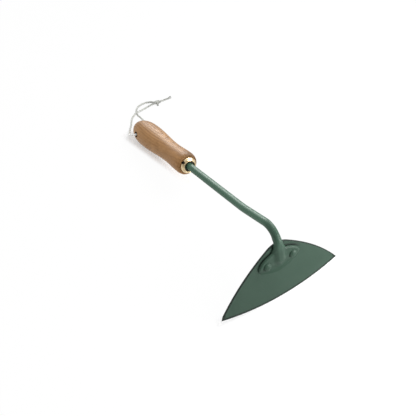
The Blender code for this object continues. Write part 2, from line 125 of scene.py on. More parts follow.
# Sizes that the looks draw in their own way: palm and rib, tang tip, rivet sill, lip, pin head
PALM_THICKNESS = 0.0026
PALM_FOOT = 0.0006
PALM_SPREAD = 0.009
PALM_FILLET = 0.0028
FILLET_RISE = 0.007
WING_FILLET = 0.004
FOOT_SINK = 0.0001
RIB_DROP = 0.0115
RIB_FALL = 0.016
RIB_REACH = 0.0088
TANG_TIP_ROUND = 0.0008
RIVET_SILL = 0.0002
LIP_BEAD = 0.0011
PIN_HEAD_DEPTH = 0.0012

# Sizes that follow from them
NECK_END = BLADE_HEIGHT - NECK_LAP
CORNER_HEIGHT = NECK_END + GOOSENECK_RADIUS * math.tan(math.pi / 4 + RISE_ANGLE / 2)
AXIS_HEIGHT = CORNER_HEIGHT - (RISE_AT + NECK_OFFSET) * math.tan(RISE_ANGLE)
WOOD_FRONT = -SHANK_REACH - FERRULE_LENGTH - SEAT_GAP
BUTT = WOOD_FRONT - HANDLE_LENGTH
FLARE_AT = HANDLE_LENGTH - FLARE_LENGTH
RIVET_HEIGHT = BLADE_HEIGHT - RIVET_DROP
PALM_TOP = RIVET_HEIGHT + PALM_RISE
PALM_BOTTOM = RIVET_HEIGHT - PALM_DROP
FOOT_START = RIVET_HEIGHT + 0.003
FOOT_END = PALM_BOTTOM + 0.005
RIM_HEIGHT = NECK_OFFSET - SEAT_GAP

# How the tool lies: the mount on the blade's back gives its tip, the blade's box its place
BACK_AXIS = frame["record"]["mounts"][0]["axis"]
PITCH = math.atan2(-BACK_AXIS[2], -BACK_AXIS[0])
PLACE = np.array([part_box("blade")[1].x, 0.0, EDGE_LAND * math.sin(PITCH)])
TIP = np.array([[math.cos(PITCH), 0.0, -math.sin(PITCH)],
                [0.0, 1.0, 0.0],
                [math.sin(PITCH), 0.0, math.cos(PITCH)]])

# Route of the cord, from the middle of the hole, measured from the floor point under that middle
UNDER_HOLE = PLACE * (1, 1, 0) + TIP @ (BUTT + HOLE_AT, 0.0, AXIS_HEIGHT) * (1, 1, 0)
CORD_NEAR = (
    (0.0005, -0.0007, 0.0145), (-0.0002, -0.0077, 0.0170), (-0.0009, -0.0146, 0.0195),
    (-0.0025, -0.0187, 0.0201), (-0.0058, -0.0213, 0.0187), (-0.0093, -0.0213, 0.0160),
    (-0.0128, -0.0196, 0.0125), (-0.0163, -0.0179, 0.0090), (-0.0198, -0.0162, 0.0056),
    (-0.0241, -0.0143, 0.0030), (-0.0281, -0.0121, 0.0016), (-0.0320, -0.0095, 0.00127),
    (-0.0405, -0.0028, 0.00127), (-0.0484, 0.0024, 0.00127), (-0.0536, 0.0068, 0.0016),
    (-0.0558, 0.0109, 0.0029), (-0.0572, 0.0159, 0.0041), (-0.0592, 0.0209, 0.0029),
    (-0.0612, 0.0265, 0.0016), (-0.0623, 0.0320, 0.00127), (-0.0635, 0.0384, 0.00127),
    (-0.0641, 0.0429, 0.0014), (-0.0636, 0.0456, 0.0021), (-0.0626, 0.0478, 0.0029),
)
CORD_FAR = (
    (0.0005, -0.0003, 0.0144), (0.0010, 0.0069, 0.0125), (0.0014, 0.0139, 0.0107),
    (0.0009, 0.0193, 0.0083), (-0.0019, 0.0240, 0.0046), (-0.0076, 0.0262, 0.0019),
    (-0.0151, 0.0257, 0.00127), (-0.0294, 0.0205, 0.00127), (-0.0393, 0.0174, 0.00127),
    (-0.0480, 0.0168, 0.00127), (-0.0573, 0.0159, 0.00127), (-0.0620, 0.0174, 0.00127),
    (-0.0661, 0.0201, 0.00127), (-0.0697, 0.0237, 0.00127), (-0.0719, 0.0277, 0.00127),
    (-0.0728, 0.0324, 0.00127), (-0.0730, 0.0375, 0.00127), (-0.0720, 0.0419, 0.00127),
    (-0.0706, 0.0451, 0.0014), (-0.0683, 0.0472, 0.0021), (-0.0654, 0.0484, 0.0029),
)
TAIL_LONG = (
    (-0.0620, 0.0575, 0.0029), (-0.0630, 0.0626, 0.0019), (-0.0637, 0.0667, 0.00127),
    (-0.0635, 0.0707, 0.00127), (-0.0637, 0.0739, 0.00127), (-0.0640, 0.0763, 0.00127),
)
TAIL_SHORT = (
    (-0.0602, 0.0514, 0.0027), (-0.0591, 0.0512, 0.0020), (-0.0576, 0.0508, 0.00127),
)
KNOT_START = (-0.0639, 0.0487, 0.0029)
KNOT_END = (-0.0622, 0.0569, 0.0029)
KNOT_UNDER = (-0.0621, 0.0522, 0.0016)
KNOT_OVER = (-0.0632, 0.0502, 0.0042)

# Knot: its two turns, their radius at its ends and what that swells by, how flat it lies, and the
# cord's run up to it
KNOT_TURNS = (1.6, 1.35)
KNOT_TIGHT = 0.0008
KNOT_SWELL = 0.0009
KNOT_FLATNESS = 0.9
KNOT_RUN = 0.13

# Twine: a ply's radius and its distance from the middle as shares of the twine's radius, the shift
# of its fibres from ply to ply, the frayed ends, and the least height over the floor
PLY_RADIUS = 0.58
PLY_APART = 0.55
PLY_SHIFT = 0.3
FRAY_LENGTH = 0.006
FRAY_THINNING = 0.18
FLOOR_GAP = 0.00002

# Blade's faces: the middle that they shrink to, by shares, and about how far off the outline is
BLADE_MIDDLE = 0.55 * BLADE_HEIGHT
FACE_SHARES = (0.04, 0.15, 0.3, 0.45, 0.6, 0.72, 0.81, 0.88, 0.93)
FACE_REACH = 0.05

# How finely the pieces are drawn
EDGE_STEPS, SIDE_STEPS, CROWN_STEPS = 160, 90, 48
GOOSENECK_STEPS, PALM_STEPS = 64, 80
FRONT_POINTS, BACK_POINTS = 97, 41
RIVET_STEPS, GRIP_STEPS, FERRULE_STEPS = 64, 144, 128
HOLE_STEPS, PIN_STEPS, PLY_STEPS = 48, 32, 12
CORD_STEP = 0.00035
CREASE = math.radians(40.0)
RIVET_CREASE = math.radians(50.0)

# Lamps: width and height, spot, aim, and whether they are seen as gloss only
LAMPS = {
    "key": ((0.5, 0.5), (0.12, 0.52, 0.75), (0.0, 0.0, 0.03), False),
    "fill": ((0.18, 0.18), (0.36, 0.22, 0.12), (0.16, 0.05, 0.03), False),
    "strip": ((0.75, 0.65), (-1.03, 0.48, 0.54), (0.0, 0.0, 0.08), True),
    "glint": ((0.35, 0.30), (-0.27, 0.80, 0.49), (0.13, 0.0, 0.09), True),
}

# Studio: half the floor's width, the line of the grip's shadow, and the camera's aim, film, range
# and shift in pixels of the photograph
FLOOR_HALF = 30.0
SHADOW_BACK = 0.105
SHADOW_SLANT = 0.22
SHADOW_ASIDE = 0.025
SHADOW_HALF = 0.060
CAMERA_AIM = (0.01067, 0.00290, 0.0)
CAMERA_FILM = 36.0
CAMERA_RANGE = (0.01, 60.0)
PHOTO_PIXELS = 416
SHIFT_PIXELS = (-0.7, 0.55)


# Settings

def colour(name, description, default):
    """Colour property, in linear values."""
    return FloatVectorProperty(name=name, description=description, default=default,
                               subtype="COLOR", size=3, min=0.0, max=1.0)


def length(name, description, default):
    """Length property in metres."""
    return FloatProperty(name=name, description=description, default=default,
                         subtype="DISTANCE", unit="LENGTH", min=0.0, precision=5)


def factor(name, description, default, high=1.0):
    """Plain number property from 0."""
    return FloatProperty(name=name, description=description, default=default,
                         subtype="FACTOR", min=0.0, max=high)


def power(name, description, default):
    """Lamp's power property in watts."""
    return FloatProperty(name=name, description=description, default=default, unit="POWER", min=0.0)


def angle(name, description, degrees):
    """Angle property, its default given in degrees."""
    return FloatProperty(name=name, description=description, default=math.radians(degrees),
                         subtype="ANGLE", unit="ROTATION")


class HoeForging(bpy.types.PropertyGroup):
    """Painted steel: blade, shank and rivets"""
    paint: colour("Paint", "Green of the paint", (0.067, 0.143, 0.095))
    shade: colour("Shade", "Green of the paint where it lies thicker", (0.057, 0.126, 0.083))
    # Plate tone is painted shade: blade and palm take a darker copy of the same paint than the rod
    plate: factor("Plate Tone", "How dark the paint is on blade and palm beside that on the rod", 0.48)
    # Edge colour and edge wear make the dark band along the plate's outline, partly wear and partly
    # painted shade; the edge colour is also painted shade above the palm and at the foot
    edge_steel_and_shade: colour("Edge", "Dark steel that shows along worn edges", (0.013, 0.022, 0.017))
    edge_round: length("Edge Round", "Radius of the paint over the plate's edges", 0.00025)
    wear: length("Edge Wear", "How far in from the cutting edge the paint is worn", 0.0036)
    gloss: factor("Roughness", "Roughness of the paint", 0.43)


class HoeGrip(bpy.types.PropertyGroup):
    """Wooden grip with its brass ferrule and pin"""
    wood: colour("Wood", "Pale wood between the grain lines", (0.45, 0.243, 0.098))
    grain: colour("Grain", "Dark wood of the grain lines", (0.28, 0.137, 0.048))
    ring_width: length("Ring Width", "Width of a year ring", 0.0030)
    polish: factor("Roughness", "Roughness of the oiled wood", 0.46)
    brass: colour("Brass", "Colour of the ferrule", (0.72, 0.57, 0.35))
    tarnish: colour("Tarnish", "Colour of dull patches on the ferrule", (0.22, 0.15, 0.07))
    pin: colour("Pin", "Colour of the pin", (0.035, 0.026, 0.020))


class HoeCord(bpy.types.PropertyGroup):
    """Loop of twine through the handle"""
    twine: colour("Twine", "Colour of the twine", (0.66, 0.67, 0.63))
    hollow: colour("Hollows", "Colour between its fibres", (0.46, 0.47, 0.44))
    # The paler colour by the hole is painted light that offsets the shading of those strands
    clean: colour("Clean", "Colour where it leaves the hole and stays clean", (0.95, 0.95, 0.93))
    diameter: length("Diameter", "Diameter of the twine", 0.0025)
    lay: length("Lay", "Length in which a ply goes once round", 0.0085)
    plies: IntProperty(name="Plies", description="Yarns in the twine", default=3, min=2, max=5)
    fray: factor("Fray", "How far the plies stand apart at the cut ends", 1.2, 4.0)


class HoeStudio(bpy.types.PropertyGroup):
    """Floor, lamps and camera"""
    floor: colour("Floor", "Colour of the floor", (0.86, 0.86, 0.86))
    veil: factor("Veil", "Share of plain white in the floor near the tool", 0.35)
    reach: length("Shadow Reach", "How far from the tool the floor shows its shadow", 0.0165)
    sky: factor("Overhead", "Strength of the light tent overhead", 0.86, 4.0)
    dim: factor("Front", "Strength of the light tent's front", 0.10, 4.0)
    key: power("Key", "High lamp on the right", 4.3)
    fill: power("Fill", "Low lamp in front, on the right", 1.05)
    strip: power("Strip", "Low strip lamp behind, seen as gloss", 18.0)
    glint: power("Glint", "Small lamp behind, seen as gloss on the bend", 5.2)
    azimuth: angle("Azimuth", "Camera's direction round the tool", 56.6506)
    elevation: angle("Elevation", "Camera's height over the floor", 48.2525)
    distance: length("Distance", "Camera's distance from its aim", 0.8)
    lens: FloatProperty(name="Lens", description="Focal length in millimetres", default=55.712,
                        unit="CAMERA")


# Shapes

def set_down(points):
    """Points of the tool's frame where the tool lies: tip p + place."""
    return points @ TIP.T + PLACE


def ease(x):
    """Cosine step from 0 to 1: (1 - cos pi x) / 2."""
    return 0.5 - 0.5 * np.cos(math.pi * np.clip(x, 0.0, 1.0))


def blend(a, b, width):
    """Larger of a and b with a fillet between them: max + (width - |a - b|)^2 / (4 width)."""
    return np.maximum(a, b) + np.clip(width - np.abs(a - b), 0.0, None) ** 2 / (4.0 * width)


def signed_power(x, power):
    """Power of the size of x that keeps its sign: sign x |x|^power."""
    return np.sign(x) * np.abs(x) ** power


def signed_volume(points, faces):
    """Six times the volume that faces close, a sum of p0 . (p1 x p2): positive if they face out."""
    a, b, c = (points[faces[:, i]] for i in (0, 1, 2))
    volume = np.einsum("ij,ij", a, np.cross(b, c))
    if faces.shape[1] == 4:
        volume += np.einsum("ij,ij", a, np.cross(c, points[faces[:, 3]]))
    return volume


def shell(name, grids, ring=False, notes=None):
    """Closed mesh of grids of points. Columns close round. Rows end in fans, or meet in a ring.
    Notes are named grids of vectors that the mesh keeps as attributes of its points."""
    points, quads, fans, start = [], [], [], 0
    kept = {key: [] for key in notes or {}}
    for number, grid in enumerate(grids):
        rows, columns = grid.shape[:2]
        index = start + np.arange(rows * columns).reshape(rows, columns)
        start += rows * columns
        layers = [(points, grid)] + [(kept[key], notes[key][number]) for key in kept]
        for store, layer in layers:
            store.append(layer.reshape(-1, 3))
            if not ring:
                store.append(np.stack([layer[0].mean(0), layer[-1].mean(0)]))
        if ring:
            index = np.vstack([index, index[:1]])
        else:
            first, last = index[0], index[-1]
            fans.append(np.stack([np.roll(first, -1), first, np.full(columns, start)], -1))
            fans.append(np.stack([last, np.roll(last, -1), np.full(columns, start + 1)], -1))
            start += 2
        low, high = index[:-1], index[1:]
        walls = np.stack([low, np.roll(low, -1, 1), np.roll(high, -1, 1), high], -1)
        quads.append(walls.reshape(-1, 4))
    points, quads = np.concatenate(points), np.concatenate(quads)
    fans = np.concatenate(fans) if fans else np.zeros((0, 3), int)
    if signed_volume(points, quads) + signed_volume(points, fans) < 0.0:
        quads, fans = quads[:, ::-1], fans[:, ::-1]
    mesh = bpy.data.meshes.new(name)
    corners = np.concatenate([quads.ravel(), fans.ravel()])
    sizes = np.concatenate([np.full(len(quads), 4), np.full(len(fans), 3)])
    mesh.vertices.add(len(points))
    mesh.vertices.foreach_set("co", points.astype(np.float32).ravel())
    mesh.loops.add(len(corners))
    mesh.loops.foreach_set("vertex_index", corners.astype(np.int32))
    mesh.polygons.add(len(sizes))
    mesh.polygons.foreach_set("loop_start", (np.cumsum(sizes) - sizes).astype(np.int32))
    mesh.polygons.foreach_set("loop_total", sizes.astype(np.int32))
    for key, layers in kept.items():
        layer = mesh.attributes.new(key, "FLOAT_VECTOR", "POINT")
        layer.data.foreach_set("vector", np.concatenate(layers).astype(np.float32).ravel())
    mesh.update(calc_edges=True)
    mesh.validate()
    mesh.shade_smooth()
    return mesh


def turned(profile, steps):
    """Turned shape round X: (h, r cos a, r sin a) for each radius r and height h of a profile."""
    radius, height = np.array(profile, float).T[:, :, None]
    angle = np.linspace(0.0, 2 * math.pi, steps, endpoint=False)
    return np.stack([height + 0.0 * angle, radius * np.cos(angle), radius * np.sin(angle)], -1)


def crossing(grid, turn):
    """Turned shape laid across the tool, its axis at a turn over the horizon on the near side."""
    axis = np.array([0.0, -math.cos(turn), math.sin(turn)])
    along = np.array([1.0, 0.0, 0.0])
    return grid @ np.stack([axis, along, np.cross(axis, along)])


def add_piece(name, mesh, finish, slot, *nodes):
    """Piece of the tool: it rides on the root body and stands for CAD nodes."""
    piece = bpy.data.objects.new(name, mesh)
    bpy.context.scene.collection.objects.link(piece)
    mesh.materials.append(finish)
    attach(piece, "root")
    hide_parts(*nodes)
    return piece


def drill(piece, *cutters):
    """Takes closed cutter meshes out of a piece and keeps the result as its mesh."""
    scene = bpy.context.scene
    tools = []
    for cutter in cutters:
        tool = bpy.data.objects.new(cutter.name, cutter)
        scene.collection.objects.link(tool)
        cut = piece.modifiers.new(cutter.name, "BOOLEAN")
        cut.operation = "DIFFERENCE"
        cut.solver = "EXACT"
        cut.object = tool
        tools.append(tool)
    bpy.context.view_layer.update()
    graph = bpy.context.evaluated_depsgraph_get()
    drilled = bpy.data.meshes.new_from_object(piece.evaluated_get(graph))
    piece.modifiers.clear()
    piece.data = drilled
    for tool in tools:
        bpy.data.objects.remove(tool)
    drilled.set_sharp_from_angle(angle=CREASE)
    return piece


def arc(centre, radius, start, end, steps):
    """Points of an arc without its last one: centre + radius (cos a, sin a)."""
    angle = np.linspace(start, end, steps, endpoint=False)
    return np.stack([centre[0] + radius * np.cos(angle), centre[1] + radius * np.sin(angle)], -1)


def circles_meet(centre_a, radius_a, centre_b, radius_b):
    """Point where two circles cross, to the left of the line from a to b."""
    gap = np.subtract(centre_b, centre_a)
    distance = np.hypot(*gap)
    along = (distance ** 2 + radius_a ** 2 - radius_b ** 2) / (2 * distance)
    unit = gap / distance
    off = math.sqrt(radius_a ** 2 - along ** 2) * np.array([-unit[1], unit[0]])
    return np.asarray(centre_a) + along * unit + off


def blade_outline(grind, inset):
    """Half-moon across and up the blade: the edge's arc, two side arcs and the crown's arc,
    each drawn inset from its own, and the edge's arc further in by the grind."""
    edge_centre = np.array([0.0, EDGE_RADIUS])
    crown_centre = np.array([0.0, BLADE_HEIGHT - CROWN_RADIUS])
    corner = (BLADE_HALF, EDGE_RADIUS - math.sqrt(EDGE_RADIUS ** 2 - BLADE_HALF ** 2))
    side_centre = circles_meet(corner, SIDE_RADIUS, crown_centre, SIDE_RADIUS - CROWN_RADIUS)
    edge = EDGE_RADIUS - grind - inset
    side = SIDE_RADIUS - inset
    tip = circles_meet(edge_centre, edge, side_centre, side)
    tip_angle = math.atan2(tip[1] - EDGE_RADIUS, tip[0])
    low = math.atan2(tip[1] - side_centre[1], tip[0] - side_centre[0])
    high = math.atan2(crown_centre[1] - side_centre[1], crown_centre[0] - side_centre[0])
    mirror = side_centre * (-1, 1)
    return np.concatenate([
        arc(edge_centre, edge, -math.pi - tip_angle, tip_angle, EDGE_STEPS),
        arc(side_centre, side, low, high, SIDE_STEPS),
        arc(crown_centre, CROWN_RADIUS - inset, high, math.pi - high, CROWN_STEPS),
        arc(mirror, side, math.pi - high, math.pi - low, SIDE_STEPS),
    ])


def blade_grid(edge_round):
    """Plate: faces shrunk to their middle by shares, and edges rounded by
    inset = r (1 - sin a), depth = r (1 - cos a). The note keeps how far in from the edge it is."""
    middle = np.array([0.0, BLADE_MIDDLE])
    rows, insets = [], []

    def row(outline, inset, depth):
        rows.append(np.column_stack([np.full(len(outline), -depth), outline]))
        insets.append(np.full((len(outline), 3), inset))

    def rim(grind, inset, depth):
        row(blade_outline(grind, inset), inset, depth)

    def face(grind, depth, shares):
        outline = blade_outline(grind, edge_round)
        for share in shares:
            row(middle + (outline - middle) * share, FACE_REACH * (1.0 - share), depth)

    turn = np.linspace(0.0, math.pi / 2, 5)
    rounding = np.stack([edge_round * (1.0 - np.sin(turn)), edge_round * (1.0 - np.cos(turn))], -1)
    face(0.0, 0.0, FACE_SHARES)
    for share in (6, 4, 2.5):
        rim(0.0, share * edge_round, 0.0)
    for inset, depth in rounding:
        rim(0.0, inset, depth)
    rim(0.0, 0.0, EDGE_LAND)
    for share in (0.15, 0.5, 0.9):
        rim(GRIND_WIDTH * share, 0.0, EDGE_LAND + (BLADE_THICKNESS - edge_round - EDGE_LAND) * share)
    for inset, depth in rounding[::-1]:
        rim(GRIND_WIDTH, inset, BLADE_THICKNESS - depth)
    rim(GRIND_WIDTH, 3 * edge_round, BLADE_THICKNESS)
    face(GRIND_WIDTH, BLADE_THICKNESS, FACE_SHARES[::-1])
    return np.stack(rows), np.stack(insets)


def bend(corner, start, end, radius, steps):
    """Rows of (x, z, heading) along an arc that rounds a corner between two headings."""
    side = 1.0 if end > start else -1.0
    reach = radius * math.tan(abs(end - start) / 2)
    heading = np.linspace(start, end, steps)
    x = corner[0] - reach * math.cos(start) + side * radius * (np.sin(heading) - math.sin(start))
    z = corner[1] - reach * math.sin(start) - side * radius * (np.cos(heading) - math.cos(start))
    return np.stack([x, z, heading], -1)


def straight(start, end, steps):
    """Rows of (x, z, heading) between two rows, without both of them."""
    share = np.linspace(0.0, 1.0, steps + 2)[1:-1, None]
    return np.asarray(start) + (np.asarray(end) - start) * share


def neck_half_width(z):
    """Half-width of the neck and rib: the rod, eased wider where it is flattened, and closed by
    an ellipse sqrt(1 - d^2) below the rivets."""
    spread = ease((BLADE_HEIGHT + NECK_TAPER - z) / (2 * NECK_TAPER))
    wide = ROD_RADIUS + (NECK_WIDTH / 2 - ROD_RADIUS) * spread
    rib = wide + (RIB_WIDTH / 2 - wide) * ease((PALM_TOP - z) / PALM_RISE)
    end = np.clip((RIVET_HEIGHT - z) / RIB_DROP, 0.0, 0.97)
    return rib * np.sqrt(1.0 - end ** 2)


def palm_half_width(z):
    """Half-width of the shank's outline at a height: sqrt(1 - u^1.7) over the rivets and
    sqrt(1 - d^2) under them, and the neck's, flared by f (1 - t)^2 where it comes down on them."""
    up = (z - RIVET_HEIGHT) / PALM_RISE
    down = (RIVET_HEIGHT - z) / PALM_DROP
    above = signed_power(1.0 - np.abs(up) ** WING_FULLNESS, 0.5)
    below = signed_power(1.0 - down ** 2, 0.5)
    wing = PALM_WIDTH / 2 * np.where(up > 0.0, above, below)
    neck = neck_half_width(np.maximum(z, RIVET_HEIGHT))
    flare = PALM_FILLET * np.clip(1.0 - (z - PALM_TOP) / FILLET_RISE, 0.0, 1.0) ** 2
    return np.where(up > 0.0, blend(wing, neck + flare, WING_FILLET), wing)


def palm_foot(z):
    """Share from 0 at the rivets to 1 towards the palm's foot: (1 - cos pi d) / 2."""
    return ease((FOOT_START - z) / (FOOT_START - FOOT_END))


def palm_front(y, z, half):
    """Height of the palm's front over its rim line: rim (plate + rib (1 - q^2 (3 - 2 q))). The rim
    is a quarter circle that turns into an ease at the foot, and q the distance sqrt((y / w)^2 + d^2)
    from the middle line and below the place where the rib runs out."""
    tiny = 0.00001
    slope = (palm_half_width(z + tiny) - palm_half_width(z - tiny)) / (2 * tiny)
    foot = palm_foot(z)
    reach = PALM_ROUND + (PALM_SPREAD - PALM_ROUND) * foot
    wing = (half - np.abs(y)) / np.sqrt(1.0 + slope ** 2) / reach
    neck = (neck_half_width(np.maximum(z, RIVET_HEIGHT)) - np.abs(y)) / reach
    # The neck's rim counts above the rivets and fades out at the foot
    neck = np.minimum(neck, 3.0 - 4.0 * foot)
    join, least_rim, flat_crest = 0.8, 0.3, 0.2
    inset = np.clip(blend(wing, neck, join), 0.0, 1.0)
    inset = np.minimum(inset, np.clip((half - np.abs(y)) / (least_rim * reach), 0.0, 1.0))
    rim = np.sqrt(1.0 - (1.0 - inset) ** 2)
    rim = rim + (ease(inset) - rim) * foot
    plate = PALM_THICKNESS + (PALM_FOOT - PALM_THICKNESS) * foot - RIM_HEIGHT * (1.0 - foot)
    rib = RIB_HEIGHT - PALM_THICKNESS + RIM_HEIGHT
    down = np.clip((RIVET_HEIGHT + RIB_FALL - RIB_DROP - z) / RIB_FALL, 0.0, None)
    q = np.clip((np.hypot(y / RIB_REACH, down) - flat_crest) / (1.0 - flat_crest), 0.0, 1.0)
    return rim * (plate + rib * (1.0 - q ** 2 * (3.0 - 2.0 * q)))


def shank_grid():
    """Forging swept along tang, rod, rise, gooseneck and palm: a circle (r cos a, r sin a) on
    the rod, eased into the palm's front and its flat back down the neck."""
    tang = WOOD_FRONT - TANG_LENGTH
    tip = tang + TANG_TIP_ROUND
    rise = bend((-RISE_AT, AXIS_HEIGHT), 0.0, RISE_ANGLE, RISE_RADIUS, 12)
    corner = (NECK_OFFSET, CORNER_HEIGHT)
    neck = bend(corner, RISE_ANGLE, -math.pi / 2, GOOSENECK_RADIUS, GOOSENECK_STEPS)
    level = np.array([[x, AXIS_HEIGHT, 0.0] for x in (tang, tip, WOOD_FRONT, -SHANK_REACH)])
    middle, reach = (PALM_TOP + PALM_BOTTOM) / 2, (PALM_TOP - PALM_BOTTOM) / 2
    lap = np.linspace(NECK_END, PALM_TOP, 14)[1:-1]
    fall = np.linspace(0.0, math.pi, PALM_STEPS)[1:-1]
    heights = np.concatenate([lap, middle + reach * np.cos(fall)])
    rim = NECK_OFFSET - (NECK_OFFSET + FOOT_SINK) * palm_foot(heights)
    palm = np.stack([rim, heights, np.full(len(heights), -math.pi / 2)], -1)
    path = np.concatenate([level, straight(level[-1], rise[0], 24), rise,
                           straight(rise[-1], neck[0], 10), neck, palm])
    x, z, heading = path.T[:, :, None]
    turn = np.concatenate([np.linspace(0.0, math.pi, FRONT_POINTS),
                           np.linspace(math.pi, 2 * math.pi, BACK_POINTS)[1:-1]])
    side, front = np.cos(turn), turn <= math.pi
    radius = np.interp(x, [tang, tip, WOOD_FRONT],
                       [TANG_TIP_RADIUS - TANG_TIP_ROUND, TANG_TIP_RADIUS, ROD_RADIUS])
    flat = ease((BLADE_HEIGHT + NECK_TAPER - z) / (NECK_TAPER - SEAT_GAP))
    spread = ease((BLADE_HEIGHT + NECK_TAPER / 2 - z) / NECK_TAPER)
    half = palm_half_width(z)
    # Points crowd towards the rib, and the back's fullness goes from a circle's to a flat one's
    crowded, round_back, flat_back = 0.55, 2.0, 8.0
    least_depth, past_top = 0.00005, -0.1
    across = half * side * (1.0 - crowded * spread * (1.0 - side ** 2))
    bulge = ROD_RADIUS * np.sqrt(np.maximum(0.0, 1.0 - (across / half) ** 2))
    lift = bulge + (palm_front(across, z, half) - bulge) * spread
    forged = heading < past_top
    seat = np.maximum(x - SEAT_GAP, least_depth) / np.where(forged, -np.sin(heading), 1.0)
    depth = ROD_RADIUS + (seat - ROD_RADIUS) * flat
    fullness = round_back + (flat_back - round_back) * flat
    sink = depth * (1.0 - np.abs(side) ** fullness) ** (1.0 / fullness)
    out = np.where(front, lift, -sink)
    across = np.where(forged, across, radius * side)
    out = np.where(forged, out, radius * np.sin(turn))
    out[:, [0, FRONT_POINTS - 1]] = 0.0
    return np.stack([x - out * np.sin(heading), across, z + out * np.cos(heading)], -1)


def rivet_grid(side):
    """Rivet: a dome (R sin^0.9 a, H cos a) on a low sill, a stem and a set tail that stands a hair
    proud of the blade's back."""
    seat, back = PALM_THICKNESS + SEAT_GAP, -BLADE_THICKNESS
    sill = seat - RIVET_SILL
    a = np.linspace(0.02, math.pi / 2, 24)
    dome = np.stack([RIVET_HEAD_RADIUS * np.sin(a) ** 0.9, seat + RIVET_HEAD_HEIGHT * np.cos(a)], -1)
    stem = [(RIVET_HEAD_RADIUS, sill), (RIVET_RADIUS, sill), (RIVET_RADIUS, back)]
    tail = [(share * RIVET_TAIL_RADIUS, back - proud)
            for share, proud in ((1.0, 0.00002), (0.9, 0.0001), (0.5, 0.00016), (0.05, 0.00018))]
    grid = turned(np.concatenate([dome, stem, tail]), RIVET_STEPS)
    return grid + (0.0, side * RIVET_SPACING / 2, RIVET_HEIGHT)


def handle_radius(t):
    """Radius of the grip at a distance t from its butt: a full dome sqrt(1 - u^2.5), eased down
    to the waist and up to the flare, and rounded off at the shoulder."""
    dome = 1.0 - np.clip(1.0 - t / SWELL_AT, 0.0, 1.0) ** BUTT_FULLNESS
    front = np.clip((t - FLARE_AT) / FLARE_LENGTH, 0.0, 1.0)
    radius = SWELL_RADIUS * np.sqrt(dome)
    radius = radius + (WAIST_RADIUS - SWELL_RADIUS) * ease((t - SWELL_AT) / (WAIST_AT - SWELL_AT))
    radius = radius + (FLARE_RADIUS - WAIST_RADIUS) * ease((t - WAIST_AT) / (FLARE_AT - WAIST_AT))
    return radius - SHOULDER_DROP * (1.0 - np.sqrt(1.0 - front ** SHOULDER_FULLNESS))


def cup_radius(z, wall):
    """Radius of the ferrule's outside, or its inside at the wall's depth: m + d sqrt(1 - z^2)."""
    share = np.clip(z / (FERRULE_LENGTH - wall), 0.0, 1.0)
    return MOUTH_RADIUS + (FERRULE_RADIUS - wall - MOUTH_RADIUS) * np.sqrt(1.0 - share ** 2)


def handle_grid():
    """Grip turned round its axis: up the tang's bore, over the nose and shoulder, to the butt."""
    bore = ROD_RADIUS + SEAT_GAP
    end = HANDLE_LENGTH - TANG_LENGTH - SEAT_GAP
    pole = 0.0004
    inner = [(pole, end), (TANG_TIP_RADIUS + SEAT_GAP, end), (bore, HANDLE_LENGTH),
             (bore, HANDLE_LENGTH + NOSE_LENGTH)]
    z = np.linspace(NOSE_LENGTH, 0.0, 8)
    nose = np.stack([cup_radius(z - SEAT_GAP, FERRULE_WALL) - SEAT_GAP, HANDLE_LENGTH + z], -1)
    shoulder = HANDLE_LENGTH - FLARE_LENGTH * np.linspace(0.0, 1.0, 18) ** 2
    body = np.linspace(FLARE_AT, SWELL_AT, 60)[1:]
    dome = SWELL_AT * np.linspace(1.0, 0.03, 48)[1:] ** 2
    t = np.concatenate([shoulder, body, dome])
    outer = np.stack([handle_radius(t), t], -1)
    return turned(np.concatenate([inner, nose, outer]), GRIP_STEPS) + (BUTT, 0.0, AXIS_HEIGHT)


def cord_hole():
    """Cutter of the cross hole, its mouths flared by quarter circles."""
    surface = float(handle_radius(HOLE_AT))
    a = np.linspace(0.0, math.pi / 2, 8)
    flare = np.stack([HOLE_RADIUS + HOLE_ROUND * (1.0 - np.sin(a)),
                      surface - HOLE_ROUND * (1.0 - np.cos(a))], -1)
    past, pole = surface + 2 * HOLE_RADIUS, 0.0005
    upper = np.concatenate([[(pole, past), (flare[0, 0], past)], flare])
    profile = np.concatenate([upper, upper[::-1] * (1, -1)])
    grid = crossing(turned(profile, HOLE_STEPS), HOLE_TURN) + (BUTT + HOLE_AT, 0.0, AXIS_HEIGHT)
    return shell("cord_hole", [set_down(grid)])


def pin_grid(radius, top, bottom):
    """Round pin with softened rims, from a top to a bottom height over the ferrule's outside."""
    top, bottom = float(cup_radius(PIN_AT, 0.0)) + np.array([top, bottom])
    soft, pole = 0.12 * PIN_RADIUS, 0.05 * radius
    profile = [(pole, top), (radius - 2 * soft, top - 0.2 * soft),
               (radius - 0.6 * soft, top - 0.6 * soft), (radius, top - 2 * soft),
               (radius, bottom), (pole, bottom)]
    grid = crossing(turned(profile, PIN_STEPS), PIN_TURN)
    return set_down(grid + (WOOD_FRONT + SEAT_GAP + PIN_AT, 0.0, AXIS_HEIGHT))


def pin_hole(depth):
    """Cutter of the pin's hole, with the seat gap, to a depth under the ferrule's outside."""
    return shell("pin_hole", [pin_grid(PIN_RADIUS + SEAT_GAP, PIN_LENGTH, -depth)])


def ferrule_grid():
    """Spun cup: a dome b + d sqrt(1 - z^2) up to a groove, a rolled lip c + q (cos a, sin a) round
    the mouth, and the cup's inside a wall apart."""
    bead, lift = LIP_BEAD, FERRULE_LENGTH - LIP_BEAD
    ring = MOUTH_RADIUS + bead
    a = np.radians(np.linspace(170.0, -20.0, 28))
    lip = np.stack([ring + bead * np.cos(a), lift + bead * np.sin(a)], -1)
    share = np.sin(np.linspace(math.pi / 2, 0.0, 32))
    groove, foot = ring + 0.98 * bead, lift - 0.5 * bead
    dome = groove + (FERRULE_RADIUS - groove) * np.sqrt(1.0 - share ** 2)
    depth = (FERRULE_LENGTH - FERRULE_WALL) * share[::-1]
    inside = np.stack([cup_radius(depth, FERRULE_WALL), depth], -1)
    profile = np.concatenate([lip, np.stack([dome, foot * share], -1), inside])
    return turned(profile, FERRULE_STEPS) + (WOOD_FRONT + SEAT_GAP, 0.0, AXIS_HEIGHT)


